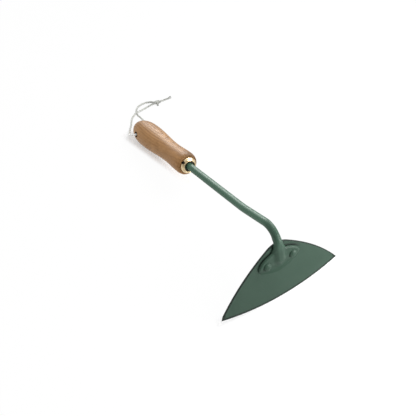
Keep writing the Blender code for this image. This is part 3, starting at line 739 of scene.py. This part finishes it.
def run_along(path):
    """Distance of each point of a path from its start: the sum of the steps up to it."""
    return np.concatenate([[0.0], np.cumsum(np.linalg.norm(np.diff(path, axis=0), axis=1))])


def smooth_route(route, step):
    """Evenly spaced points of the natural cubic spline through a route."""
    route = np.array(route)
    knots = run_along(route)
    gaps = np.diff(knots)
    slopes = np.diff(route, axis=0) / gaps[:, None]
    matrix = np.diag(2 * (gaps[:-1] + gaps[1:])) + np.diag(gaps[1:-1], 1) + np.diag(gaps[1:-1], -1)
    curve = np.zeros_like(route)
    curve[1:-1] = np.linalg.solve(matrix, 6 * np.diff(slopes, axis=0))
    at = np.linspace(0.0, knots[-1], math.ceil(knots[-1] / step) + 1)
    i = np.clip(np.searchsorted(knots, at, side="right") - 1, 0, len(route) - 2)
    gap = gaps[i, None]
    a, b = (knots[i + 1] - at)[:, None], (at - knots[i])[:, None]
    cubic = (curve[i] * a ** 3 + curve[i + 1] * b ** 3) / (6 * gap)
    return (cubic + (route[i] / gap - curve[i] * gap / 6) * a
            + (route[i + 1] / gap - curve[i + 1] * gap / 6) * b)


def laid_twine(path, cord, reference, fray):
    """Grids of a laid twine: ply k runs at p + a (cos f N + sin f B), with f = 2 pi (s / lay + k / n),
    and is a round tube there. At a frayed end the plies part. Also the straightened place of
    every point, for the fibres."""
    tangent = np.gradient(path, axis=0)
    tangent /= np.linalg.norm(tangent, axis=1, keepdims=True)
    normal = np.cross(tangent, reference)
    normal /= np.linalg.norm(normal, axis=1, keepdims=True)
    second = np.cross(tangent, normal)
    s = run_along(path)
    loose = ease((s - s[-1] + FRAY_LENGTH) / FRAY_LENGTH) * fray
    ply = 0.5 * cord.diameter * PLY_RADIUS * (1.0 - FRAY_THINNING * loose)
    apart = 0.5 * cord.diameter * PLY_APART * (1.0 + loose)
    round_ply = np.linspace(0.0, 2 * math.pi, PLY_STEPS, endpoint=False)
    across, up = ply[:, None] * np.cos(round_ply), ply[:, None] * np.sin(round_ply)
    grids, straightened = [], []
    for k in range(cord.plies):
        turn = 2 * math.pi * (s / cord.lay + k / cord.plies)
        u = (apart * np.cos(turn))[:, None] + across
        v = (apart * np.sin(turn))[:, None] + up
        grid = path[:, None] + u[..., None] * normal[:, None] + v[..., None] * second[:, None]
        grids.append(np.maximum(grid, (-np.inf, -np.inf, FLOOR_GAP)))
        straightened.append(np.stack([s[:, None] + k * PLY_SHIFT + 0.0 * u, across, up], -1))
    return grids, straightened


def knot_paths():
    """Two turns round the strands: r (cos f, sin f) about the knot's axis, with r swelling from the
    strands' place to the outside and back."""
    start, end = np.array(KNOT_START), np.array(KNOT_END)
    axis = (end - start) / np.linalg.norm(end - start)
    across = np.cross(axis, (0.0, 0.0, 1.0))
    up = np.cross(across, axis)
    share = np.linspace(0.0, 1.0, 120)
    margin, bunched = 0.08, 0.06
    run = margin + (1.0 - 2 * margin) * (share + bunched * np.sin(2 * math.pi * share))
    centre = UNDER_HOLE + start + (end - start) * run[:, None]
    radius = KNOT_TIGHT + KNOT_SWELL * np.sin(math.pi * share) ** 0.5
    paths = []
    for k, turns in enumerate(KNOT_TURNS):
        f = 2 * math.pi * (turns * share + 0.5 * k)
        aside, lift = radius * np.cos(f), KNOT_FLATNESS * radius * np.sin(f)
        paths.append(centre + aside[:, None] * across + lift[:, None] * up)
    return paths, axis


# Finishes

class Value:
    """What a socket carries. Python's operators on it add Math nodes to its finish."""

    def __init__(self, finish, socket):
        self.finish = finish
        self.socket = socket

    def math(self, operation, first, second):
        return self.finish.math(operation, first, second)

    def __add__(self, other):
        return self.math("ADD", self, other)

    def __sub__(self, other):
        return self.math("SUBTRACT", self, other)

    def __rsub__(self, other):
        return self.math("SUBTRACT", other, self)

    def __mul__(self, other):
        return self.math("MULTIPLY", self, other)

    def __truediv__(self, other):
        return self.math("DIVIDE", self, other)

    def __rtruediv__(self, other):
        return self.math("DIVIDE", other, self)

    def __pow__(self, other):
        return self.math("POWER", self, other)

    __radd__ = __add__
    __rmul__ = __mul__


class Finish:
    """Nodes of a material or a world under construction."""

    def __init__(self, owner):
        self.owner = bpy.data.materials.new(owner) if isinstance(owner, str) else owner
        self.owner.use_nodes = True
        self.tree = self.owner.node_tree
        self.tree.nodes.clear()

    def node(self, kind, settings=None, sockets=None, out=0):
        """Node of a kind: its settings first, then the values or links of its sockets."""
        made = self.tree.nodes.new(kind)
        for key, value in (settings or {}).items():
            setattr(made, key, value)
        for key, value in (sockets or {}).items():
            if isinstance(value, Value):
                self.tree.links.new(value.socket, made.inputs[key])
            else:
                made.inputs[key].default_value = value
        return Value(self, made.outputs[out])

    def math(self, operation, first, second=0.0):
        """Math node of an operation."""
        return self.node("ShaderNodeMath", {"operation": operation}, {0: first, 1: second})

    def place(self):
        """Object coordinates, which are the part's own frame."""
        return self.node("ShaderNodeTexCoord", out=3)

    def tool_place(self, scale=(1.0, 1.0, 1.0)):
        """Place in the tool's frame from the handle's axis, scaled along and across."""
        shift = -(TIP.T @ PLACE) - (0.0, 0.0, AXIS_HEIGHT)
        turned_back = self.node("ShaderNodeMapping", {"vector_type": "POINT"}, {
            "Vector": self.place(), "Rotation": (0.0, PITCH, 0.0), "Location": tuple(shift)})
        return self.node("ShaderNodeMapping", {"vector_type": "POINT"},
                         {"Vector": turned_back, "Scale": scale})

    def part(self, vector, axis):
        """Part of a vector along one axis: 0 for x, 1 for y, 2 for z."""
        return self.node("ShaderNodeSeparateXYZ", {}, {0: vector}, out=axis)

    def palm_shadow(self):
        """Painted shadow on the blade's front along the palm's upper rim and the neck: 1 at the rim, 0
        away from it."""
        place = self.tool_place()
        front = self.step(self.part(place, 0), -0.6 * BLADE_THICKNESS, -0.3 * BLADE_THICKNESS)
        y = self.math("ABSOLUTE", self.part(place, 1))
        z = self.part(place, 2) + (AXIS_HEIGHT - RIVET_HEIGHT)
        up = self.math("MAXIMUM", z / PALM_RISE, 0.0)
        wing = ((y / (PALM_WIDTH / 2)) ** 2.0 + up ** WING_FULLNESS) ** 0.5
        off_wing = (wing - 1.0) * PALM_RISE
        off = self.math("MINIMUM", off_wing, y - NECK_WIDTH / 2)
        rim = self.step(off, 0.0004, 0.0025, 0.9, 0.0)
        upper = self.step(z, 0.0, 0.009)
        return front * rim * upper

    def from_axis(self, at, turn):
        """Distance from the axis of a cross hole at a place along the handle and a turn."""
        shift = self.node("ShaderNodeMapping", {"vector_type": "POINT"}, {
            "Vector": self.tool_place(), "Location": (-at, 0.0, 0.0)})
        axis = (0.0, -math.cos(turn), math.sin(turn))
        across = self.node("ShaderNodeVectorMath", {"operation": "CROSS_PRODUCT"}, {0: shift, 1: axis})
        return self.node("ShaderNodeVectorMath", {"operation": "LENGTH"}, {0: across}, out=1)

    def noise(self, vector, scale, detail=2.0, rough=0.5, warp=0.0):
        """Noise from 0 to 1 with features about 1 / scale metres wide."""
        return self.node("ShaderNodeTexNoise", {}, {"Vector": vector, "Scale": scale, "Detail": detail,
                                                    "Roughness": rough, "Distortion": warp})

    def step(self, value, low, high, start=0.0, end=1.0):
        """Smooth step of a value from low to high."""
        return self.node("ShaderNodeMapRange", {"interpolation_type": "SMOOTHSTEP"}, {
            "Value": value, "From Min": low, "From Max": high, "To Min": start, "To Max": end})

    def mix(self, share, first, second):
        """Colour between two by a share."""
        first, second = (c if isinstance(c, Value) else (*c, 1.0) for c in (first, second))
        return self.node("ShaderNodeMix", {"data_type": "RGBA"}, {0: share, 6: first, 7: second}, out=2)

    def bump(self, height, strength, distance):
        """Normal of a surface raised by a height."""
        return self.node("ShaderNodeBump", {},
                         {"Height": height, "Strength": strength, "Distance": distance})

    def shade(self, **sockets):
        """Principled surface with these sockets; underscores stand for spaces."""
        named = {key.replace("_", " "): value for key, value in sockets.items()}
        return self.end("ShaderNodeOutputMaterial", self.node("ShaderNodeBsdfPrincipled", {}, named))

    def end(self, kind, surface):
        """Output node of a kind, linked to a surface; gives back the finished owner."""
        made = self.tree.nodes.new(kind)
        self.tree.links.new(surface.socket, made.inputs["Surface"])
        return self.owner


def toned(share, tint):
    """Colour made darker or lighter by a share."""
    return tuple(share * part for part in tint)


def paint_finish(forging, name, edged):
    """Satin green paint: cloudy tone and orange peel. An edged piece takes the darker copy of the paint
    all over as painted shade, a dark band along its outline that is partly edge wear and partly
    painted shade, and a painted shadow along the palm. The others turn to that darker copy towards
    neck and palm as painted shade, and are rougher at the foot, with a faint painted shade there."""
    finish = Finish(name)
    place, tool = finish.place(), finish.tool_place()
    cloud = finish.noise(place, 28.0, 3.0, 0.55)
    speck = finish.noise(place, 900.0, 2.0, 0.6)
    tone = finish.step(cloud * 0.8 + speck * 0.2, 0.3, 0.7)
    # Darker copy of the paint for blade and palm: painted shade
    shaded_paint = finish.mix(tone, toned(forging.plate, forging.shade), toned(forging.plate, forging.paint))
    rough = forging.gloss + 0.10 * (finish.noise(place, 160.0, 3.0, 0.6) - 0.5)
    height = finish.part(tool, 2) + AXIS_HEIGHT
    if edged:
        y = finish.part(tool, 1)
        inset = finish.node("ShaderNodeAttribute", {"attribute_name": "inset"}, out=2)
        # The dark band along the plate's outline is partly edge wear and partly painted shade of the
        # rounded edges, widest at the cutting edge
        ragged = inset + 0.0002 * (finish.noise(place, 300.0, 2.0, 0.5) - 0.5)
        low = finish.step(height - y * y / (2 * EDGE_RADIUS), 0.004, 0.008, 1.0, 0.38)
        edge_wear_and_shade = finish.step(ragged / low, 0.45 * forging.wear, forging.wear, 0.9, 0.0)
        green = finish.mix(edge_wear_and_shade, shaded_paint, forging.edge_steel_and_shade)
        # Painted shadow of the palm and neck on the blade, in the edge colour
        green = finish.mix(finish.palm_shadow(), green, forging.edge_steel_and_shade)
        rough = rough + 0.3 * edge_wear_and_shade
    else:
        # Towards neck and palm the rod's paint turns into the darker copy: painted shade
        neck = finish.step(finish.part(tool, 0), -0.026, -0.006, 0.0, 0.72)
        palm = finish.step(height, PALM_TOP - 0.003, PALM_TOP + 0.008, 0.28, 0.0)
        # A faint painted shade at the foot damps the sheen of its slope; the foot is rougher there too
        foot = finish.step(height, PALM_BOTTOM + 0.004, FOOT_START, 1.0, 0.0)
        plain_paint = finish.mix(tone, forging.shade, forging.paint)
        green = finish.mix(neck + palm, plain_paint, shaded_paint)
        green = finish.mix(0.07 * foot, green, forging.edge_steel_and_shade)
        rough = rough + 0.45 * foot
    peel = finish.noise(place, 1500.0, 1.0, 0.4) * 0.4 + finish.noise(place, 260.0, 2.0, 0.5) * 0.6
    return finish.shade(Base_Color=green, Roughness=rough, Specular_IOR_Level=0.25,
                        Normal=finish.bump(peel, 0.04, 0.0003))


def wood_finish(grip):
    """Oiled hardwood: year rings cut lengthways, fibre streaks and short dark pores. Towards the front it
    is darker, partly from handling and partly as painted shade on its +Y side. Painted shade darkens
    the shoulder at the ferrule, the wood in the ferrule's mouth and the cross hole."""
    finish = Finish("grip_wood")
    tool = finish.tool_place()
    along, side = finish.part(tool, 0), finish.part(tool, 1)
    drift = finish.noise(finish.tool_place((26.0, 75.0, 75.0)), 1.0, 3.0, 0.6, 0.8)
    stretch, ovals_at = 0.2, BUTT + 0.045
    oval = finish.node("ShaderNodeVectorMath", {"operation": "SUBTRACT"}, {
        0: finish.tool_place((stretch, 1.0, 1.0)), 1: (stretch * ovals_at, 0.004, SWELL_RADIUS)})
    away = finish.node("ShaderNodeVectorMath", {"operation": "LENGTH"}, {0: oval}, out=1)
    wave = finish.math("SINE", (away + drift * 0.004) * (2 * math.pi / grip.ring_width))
    ring = finish.step(wave, -0.9, 1.0)
    streak = finish.noise(finish.tool_place((26.0, 900.0, 900.0)), 1.0, 3.0, 0.6)
    pore = finish.noise(finish.tool_place((150.0, 2600.0, 2600.0)), 1.0, 1.0, 0.5)
    pores = finish.step(pore, 0.60, 0.72)
    figure = finish.step(away, 0.005, 0.017, 0.34, 0.05)
    tone = finish.step(figure * (ring - 0.5) + 0.16 * streak + 0.6 * drift, 0.18, 0.60)
    front = finish.step(along, WOOD_FRONT - 0.016, WOOD_FRONT - 0.002, 0.0, 0.75)
    # Painted shade: darker wood in the corner at the ferrule, inside the ferrule's mouth and in the cross
    # hole
    shoulder = finish.step(along, WOOD_FRONT - 0.003, WOOD_FRONT - 0.0004, 0.0, 0.15)
    nose = finish.step(along, WOOD_FRONT, WOOD_FRONT + 0.0004)
    off_hole = finish.from_axis(BUTT + HOLE_AT, HOLE_TURN)
    hole_shade = finish.step(off_hole, HOLE_RADIUS + 0.0002, HOLE_RADIUS + 0.0010, 1.0, 0.0)
    # Darker towards the front on the +Y side: partly handling, partly painted shade
    handling_and_shade = front * finish.step(side, -0.010, 0.006)
    dark = toned(0.05, grip.grain)
    wood = finish.mix(tone, grip.wood, grip.grain)
    wood = finish.mix(0.35 * pores, wood, toned(0.5, grip.grain))
    wood = finish.mix(handling_and_shade, wood, toned(0.42, grip.grain))
    wood = finish.mix(shoulder, wood, dark)
    wood = finish.mix(nose, wood, toned(0.05, grip.brass))
    wood = finish.mix(hole_shade, wood, dark)
    rough = grip.polish + 0.12 * (streak - 0.5) + 0.15 * pores
    relief = 0.5 * streak - 0.6 * pores - 0.15 * ring
    return finish.shade(Base_Color=wood, Roughness=rough, Specular_IOR_Level=0.20,
                        Normal=finish.bump(relief, 0.09, 0.0003))


def brass_finish(grip):
    """Polished brass: fine turning lines round the axis, dull patches and a dark ring round the pin."""
    finish = Finish("ferrule_brass")
    lines = finish.noise(finish.tool_place((5200.0, 60.0, 60.0)), 1.0, 2.0, 0.6)
    cloud = finish.noise(finish.place(), 220.0, 3.0, 0.6)
    dull = finish.step(cloud, 0.46, 0.68)
    brass = finish.mix(0.7 * dull, grip.brass, grip.tarnish)
    near_side = finish.step(finish.part(finish.tool_place(), 1), -0.001, 0.001, 1.0, 0.0)
    # Darker ring round the pin, on the near side
    off_pin = finish.from_axis(WOOD_FRONT + SEAT_GAP + PIN_AT, PIN_TURN)
    pin_ring = finish.step(off_pin, PIN_RADIUS + 0.0007, PIN_RADIUS + 0.0016, 0.95, 0.0)
    brass = finish.mix(near_side * pin_ring, brass, grip.pin)
    return finish.shade(Base_Color=brass, Metallic=1.0, Roughness=0.25 + 0.08 * lines + 0.14 * dull,
                        Normal=finish.bump(lines, 0.06, 0.0002))


def pin_finish(grip):
    """Dark pin steel with pitted, slightly rusted skin."""
    finish = Finish("pin_steel")
    pits = finish.noise(finish.place(), 2600.0, 3.0, 0.6)
    skin = finish.mix(finish.step(pits, 0.4, 0.7), grip.pin, toned(1.9, grip.pin))
    return finish.shade(Base_Color=skin, Metallic=0.7, Roughness=0.45 + 0.25 * pits,
                        Normal=finish.bump(pits, 0.3, 0.0001))


def twine_finish(cord):
    """Bleached twine: fibres along each ply, paler by the hole as painted light and darker at knot and
    tails as painted shade.
    """
    finish = Finish("loop_twine")
    lay = finish.node("ShaderNodeAttribute", {"attribute_name": "lay"}, out=1)
    along = finish.node("ShaderNodeMapping", {"vector_type": "POINT"},
                        {"Vector": lay, "Scale": (420.0, 4200.0, 4200.0)})
    fibre = finish.noise(along, 1.0, 3.0, 0.65)
    cloud = finish.noise(finish.place(), 180.0, 2.0, 0.5)
    tone = finish.step(0.75 * fibre + 0.25 * cloud, 0.32, 0.66)
    # Paler where the strands leave the hole: painted light against their shading
    run = finish.math("MODULO", finish.part(lay, 0), PLY_SHIFT)
    pale = finish.step(run, 0.045, 0.070, 1.0, 0.0)
    twine = finish.mix(pale, finish.mix(tone, cord.hollow, cord.twine), cord.clean)
    # Darker at knot and tails: painted shade of the bunched strands
    knot_shade = finish.step(run, 0.108, 0.128, 0.0, 0.45)
    twine = finish.mix(knot_shade, twine, toned(0.6, cord.hollow))
    return finish.shade(Base_Color=twine, Roughness=0.8 + 0.15 * fibre,
                        Normal=finish.bump(fibre, 0.5, 0.0002))


def floor_finish(studio):
    """White floor: pale matt, whiter where the camera, a mirror or glass sees it, under a veil of
    plain white that is thinner near the tool, where its shadow lies."""
    finish = Finish("studio_floor")
    camera, mirror, glass = (finish.node("ShaderNodeLightPath", out=k) for k in (0, 3, 6))
    seen = camera + mirror + glass
    x, y = (finish.part(finish.place(), axis) for axis in (0, 1))

    def away(along, across, reach):
        """Distance from a line of the given reach to both sides."""
        past = finish.math("MAXIMUM", finish.math("ABSOLUTE", along) - reach, 0.0)
        return (past * past + across * across) ** 0.5

    from_grip = away(x + SHADOW_BACK, y - SHADOW_SLANT * x - SHADOW_ASIDE, SHADOW_HALF)
    from_blade = away(y, x - PLACE[0], BLADE_HALF)
    near = finish.math("MINIMUM", from_grip, from_blade)
    veil = finish.step(near, 0.5 * studio.reach, studio.reach, studio.veil, 0.95)
    white = finish.mix(seen, studio.floor, (1.0, 1.0, 1.0))
    matt = finish.node("ShaderNodeBsdfDiffuse", {}, {"Color": white, "Roughness": 0.0})
    plain = finish.node("ShaderNodeEmission", {}, {"Color": (1.0, 1.0, 1.0, 1.0), "Strength": 1.0})
    floor = finish.node("ShaderNodeMixShader", {}, {0: veil * seen, 1: matt, 2: plain})
    return finish.end("ShaderNodeOutputMaterial", floor)


def sky_finish(world, studio):
    """Light tent: a soft step from its dim front to its bright top."""
    finish = Finish(world)
    way = finish.node("ShaderNodeTexCoord", out=0)
    bright_side = (-0.40, -0.20, 0.89)
    facing = finish.node("ShaderNodeVectorMath", {"operation": "DOT_PRODUCT"},
                         {0: way, 1: bright_side}, out=1)
    light = finish.step(facing, -0.45, 0.9, studio.dim, studio.sky)
    tent = finish.node("ShaderNodeBackground", {}, {"Color": (1.0, 1.0, 1.0, 1.0), "Strength": light})
    return finish.end("ShaderNodeOutputWorld", tent)


# Operators

class HOE_OT_cord(bpy.types.Operator):
    """Twine loop from the cross hole to its knot and its two tails"""
    bl_idname = "draw_hoe.cord"
    bl_label = "Cord"

    def execute(self, context):
        cord = context.scene.hoe_cord
        finish = twine_finish(cord)
        paths, axis = knot_paths()
        turns = [laid_twine(path, cord, axis, 0.0) for path in paths]
        mesh = shell("twine_knot", [grid for grids, _ in turns for grid in grids],
                     notes={"lay": [lay + (KNOT_RUN, 0.0, 0.0) for _, lays in turns for lay in lays]})
        knot = add_piece("twine_knot", mesh, finish, "twine", "cord_knot")
        strands = (
            ("twine_near", (*CORD_NEAR, KNOT_UNDER, *TAIL_LONG),
             ("cord_near", "cord_tail_long"), 1.0, [knot]),
            ("twine_far", (*CORD_FAR, KNOT_OVER, *TAIL_SHORT),
             ("cord_far", "cord_tail_short"), 0.3, []),
        )
        for name, route, nodes, loose, pieces in strands:
            path = UNDER_HOLE + smooth_route(route, CORD_STEP)
            grids, lays = laid_twine(path, cord, (0.0, 0.0, 1.0), loose * cord.fray)
            mesh = shell(name, grids, notes={"lay": lays})
            strand = add_piece(name, mesh, finish, "twine", *nodes)
            UNDER_HOLE + route[2]
        return {"FINISHED"}


class HOE_OT_blade(bpy.types.Operator):
    """Half-moon blade, ground from the back"""
    bl_idname = "draw_hoe.blade"
    bl_label = "Blade"

    def execute(self, context):
        forging = context.scene.hoe_forging
        grid, inset = blade_grid(forging.edge_round)
        mesh = shell("blade_plate", [set_down(grid)], notes={"inset": [inset]})
        add_piece("blade_plate", mesh, paint_finish(forging, "blade_paint", True), "green_paint", "blade")
        return {"FINISHED"}


class HOE_OT_shank(bpy.types.Operator):
    """Forged shank from its tang to its palm"""
    bl_idname = "draw_hoe.shank"
    bl_label = "Shank"

    def execute(self, context):
        finish = paint_finish(context.scene.hoe_forging, "shank_paint", False)
        mesh = shell("shank_forging", [set_down(shank_grid())])
        add_piece("shank_forging", mesh, finish, "green_paint", "shank")
        return {"FINISHED"}


class HOE_OT_rivets(bpy.types.Operator):
    """Two domed rivets through the palm and the blade"""
    bl_idname = "draw_hoe.rivets"
    bl_label = "Rivets"

    def execute(self, context):
        finish = paint_finish(context.scene.hoe_forging, "rivet_paint", False)
        for node, side in (("rivet_left", -1), ("rivet_right", 1)):
            mesh = shell(node + "_head", [set_down(rivet_grid(side))])
            mesh.set_sharp_from_angle(angle=RIVET_CREASE)
            add_piece(node + "_head", mesh, finish, "green_paint", node)
        return {"FINISHED"}


class HOE_OT_handle(bpy.types.Operator):
    """Turned wooden grip with its cross hole"""
    bl_idname = "draw_hoe.handle"
    bl_label = "Handle"

    def execute(self, context):
        mesh = shell("grip", [set_down(handle_grid())])
        grip = add_piece("grip", mesh, wood_finish(context.scene.hoe_grip), "wood", "handle")
        drill(grip, cord_hole(), pin_hole(PIN_LENGTH + 2 * PIN_SINK))
        return {"FINISHED"}


class HOE_OT_ferrule(bpy.types.Operator):
    """Brass ferrule and the pin that holds it"""
    bl_idname = "draw_hoe.ferrule"
    bl_label = "Ferrule and Pin"

    def execute(self, context):
        grip = context.scene.hoe_grip
        mesh = shell("ferrule_cup", [set_down(ferrule_grid())], ring=True)
        cup = add_piece("ferrule_cup", mesh, brass_finish(grip), "brass", "ferrule")
        drill(cup, pin_hole(PIN_LENGTH))
        pin = shell("pin", [pin_grid(PIN_RADIUS, -PIN_HEAD_DEPTH, -PIN_SINK - PIN_LENGTH)])
        add_piece("pin", pin, pin_finish(grip), "pin_steel", "ferrule_pin")
        return {"FINISHED"}


class HOE_OT_stage(bpy.types.Operator):
    """White floor, soft lamps and the camera"""
    bl_idname = "draw_hoe.stage"
    bl_label = "Studio"

    def put(self, name, data):
        """Object of the studio."""
        thing = bpy.data.objects.new(name, data)
        bpy.context.scene.collection.objects.link(thing)
        return thing

    def put_floor(self, studio):
        """White square under the tool."""
        side = np.array([-FLOOR_HALF, FLOOR_HALF])
        mesh = bpy.data.meshes.new("floor")
        x, y = (c.ravel() for c in np.meshgrid(side, side))
        mesh.from_pydata(np.stack([x, y, np.zeros(4)], -1).tolist(), [], [(0, 1, 3, 2)])
        mesh.materials.append(floor_finish(studio))
        floor = self.put("floor", mesh)

    def put_lamp(self, name, power, size, spot, aim):
        """Soft lamp of a width and height at a spot, turned to its aim."""
        light = bpy.data.lights.new(name, "AREA")
        light.shape, light.energy = "RECTANGLE", power
        light.size, light.size_y = size
        lamp = self.put(name, light)
        lamp.location = spot
        lamp.rotation_euler = (Vector(aim) - Vector(spot)).to_track_quat("-Z", "Y").to_euler()
        return lamp

    def put_camera(self, studio):
        """Camera at its distance from its aim, turned to it."""
        a, e = studio.azimuth, studio.elevation
        back = Vector((math.sin(a) * math.cos(e), -math.cos(a) * math.cos(e), math.sin(e)))
        right = Vector((math.cos(a), math.sin(a), 0.0))
        data = bpy.data.cameras.new("camera")
        data.lens, data.sensor_width = studio.lens, CAMERA_FILM
        data.shift_x, data.shift_y = (shift / PHOTO_PIXELS for shift in SHIFT_PIXELS)
        data.clip_start, data.clip_end = CAMERA_RANGE
        camera = self.put("camera", data)
        spot = Vector(CAMERA_AIM) + studio.distance * back
        turn = Matrix((right, back.cross(right), back)).transposed().to_4x4()
        camera.matrix_world = Matrix.Translation(spot) @ turn
        return camera

    def execute(self, context):
        scene, studio = context.scene, context.scene.hoe_studio
        self.put_floor(studio)
        scene.world = sky_finish(scene.world or bpy.data.worlds.new("studio"), studio)
        for name, (size, spot, aim, gloss_only) in LAMPS.items():
            lamp = self.put_lamp(name, getattr(studio, name), size, spot, aim)
            lamp.visible_diffuse = not gloss_only
        scene.camera = self.put_camera(studio)
        scene.view_settings.view_transform = "Standard"
        return {"FINISHED"}


class HOE_PT_panel(bpy.types.Panel):
    """Sidebar panel with the pieces and their settings"""
    bl_label = "Draw Hoe"
    bl_idname = "HOE_PT_panel"
    bl_space_type = "VIEW_3D"
    bl_region_type = "UI"
    bl_category = "Draw Hoe"

    def draw(self, context):
        for group, operators in PANEL_ROWS:
            box = self.layout.box()
            settings = getattr(context.scene, group)
            for key in settings.__annotations__:
                box.prop(settings, key)
            for operator in operators:
                box.operator(operator.bl_idname)


GROUPS = {"hoe_forging": HoeForging, "hoe_grip": HoeGrip, "hoe_cord": HoeCord, "hoe_studio": HoeStudio}
PANEL_ROWS = (
    ("hoe_studio", (HOE_OT_stage,)),
    ("hoe_cord", (HOE_OT_cord,)),
    ("hoe_forging", (HOE_OT_blade, HOE_OT_shank, HOE_OT_rivets)),
    ("hoe_grip", (HOE_OT_handle, HOE_OT_ferrule)),
)
OPERATORS = [operator for _, row in PANEL_ROWS for operator in row]


def register():
    for cls in (*GROUPS.values(), *OPERATORS, HOE_PT_panel):
        bpy.utils.register_class(cls)
    for key, cls in GROUPS.items():
        setattr(bpy.types.Scene, key, PointerProperty(type=cls))


def unregister():
    for key in GROUPS:
        delattr(bpy.types.Scene, key)
    for cls in (HOE_PT_panel, *reversed(OPERATORS), *GROUPS.values()):
        bpy.utils.unregister_class(cls)


def main():
    register()
    bpy.ops.draw_hoe.stage()
    bpy.ops.draw_hoe.cord()
    bpy.ops.draw_hoe.blade()
    bpy.ops.draw_hoe.shank()
    bpy.ops.draw_hoe.rivets()
    bpy.ops.draw_hoe.handle()
    bpy.ops.draw_hoe.ferrule()


if __name__ == "__main__":
    main()
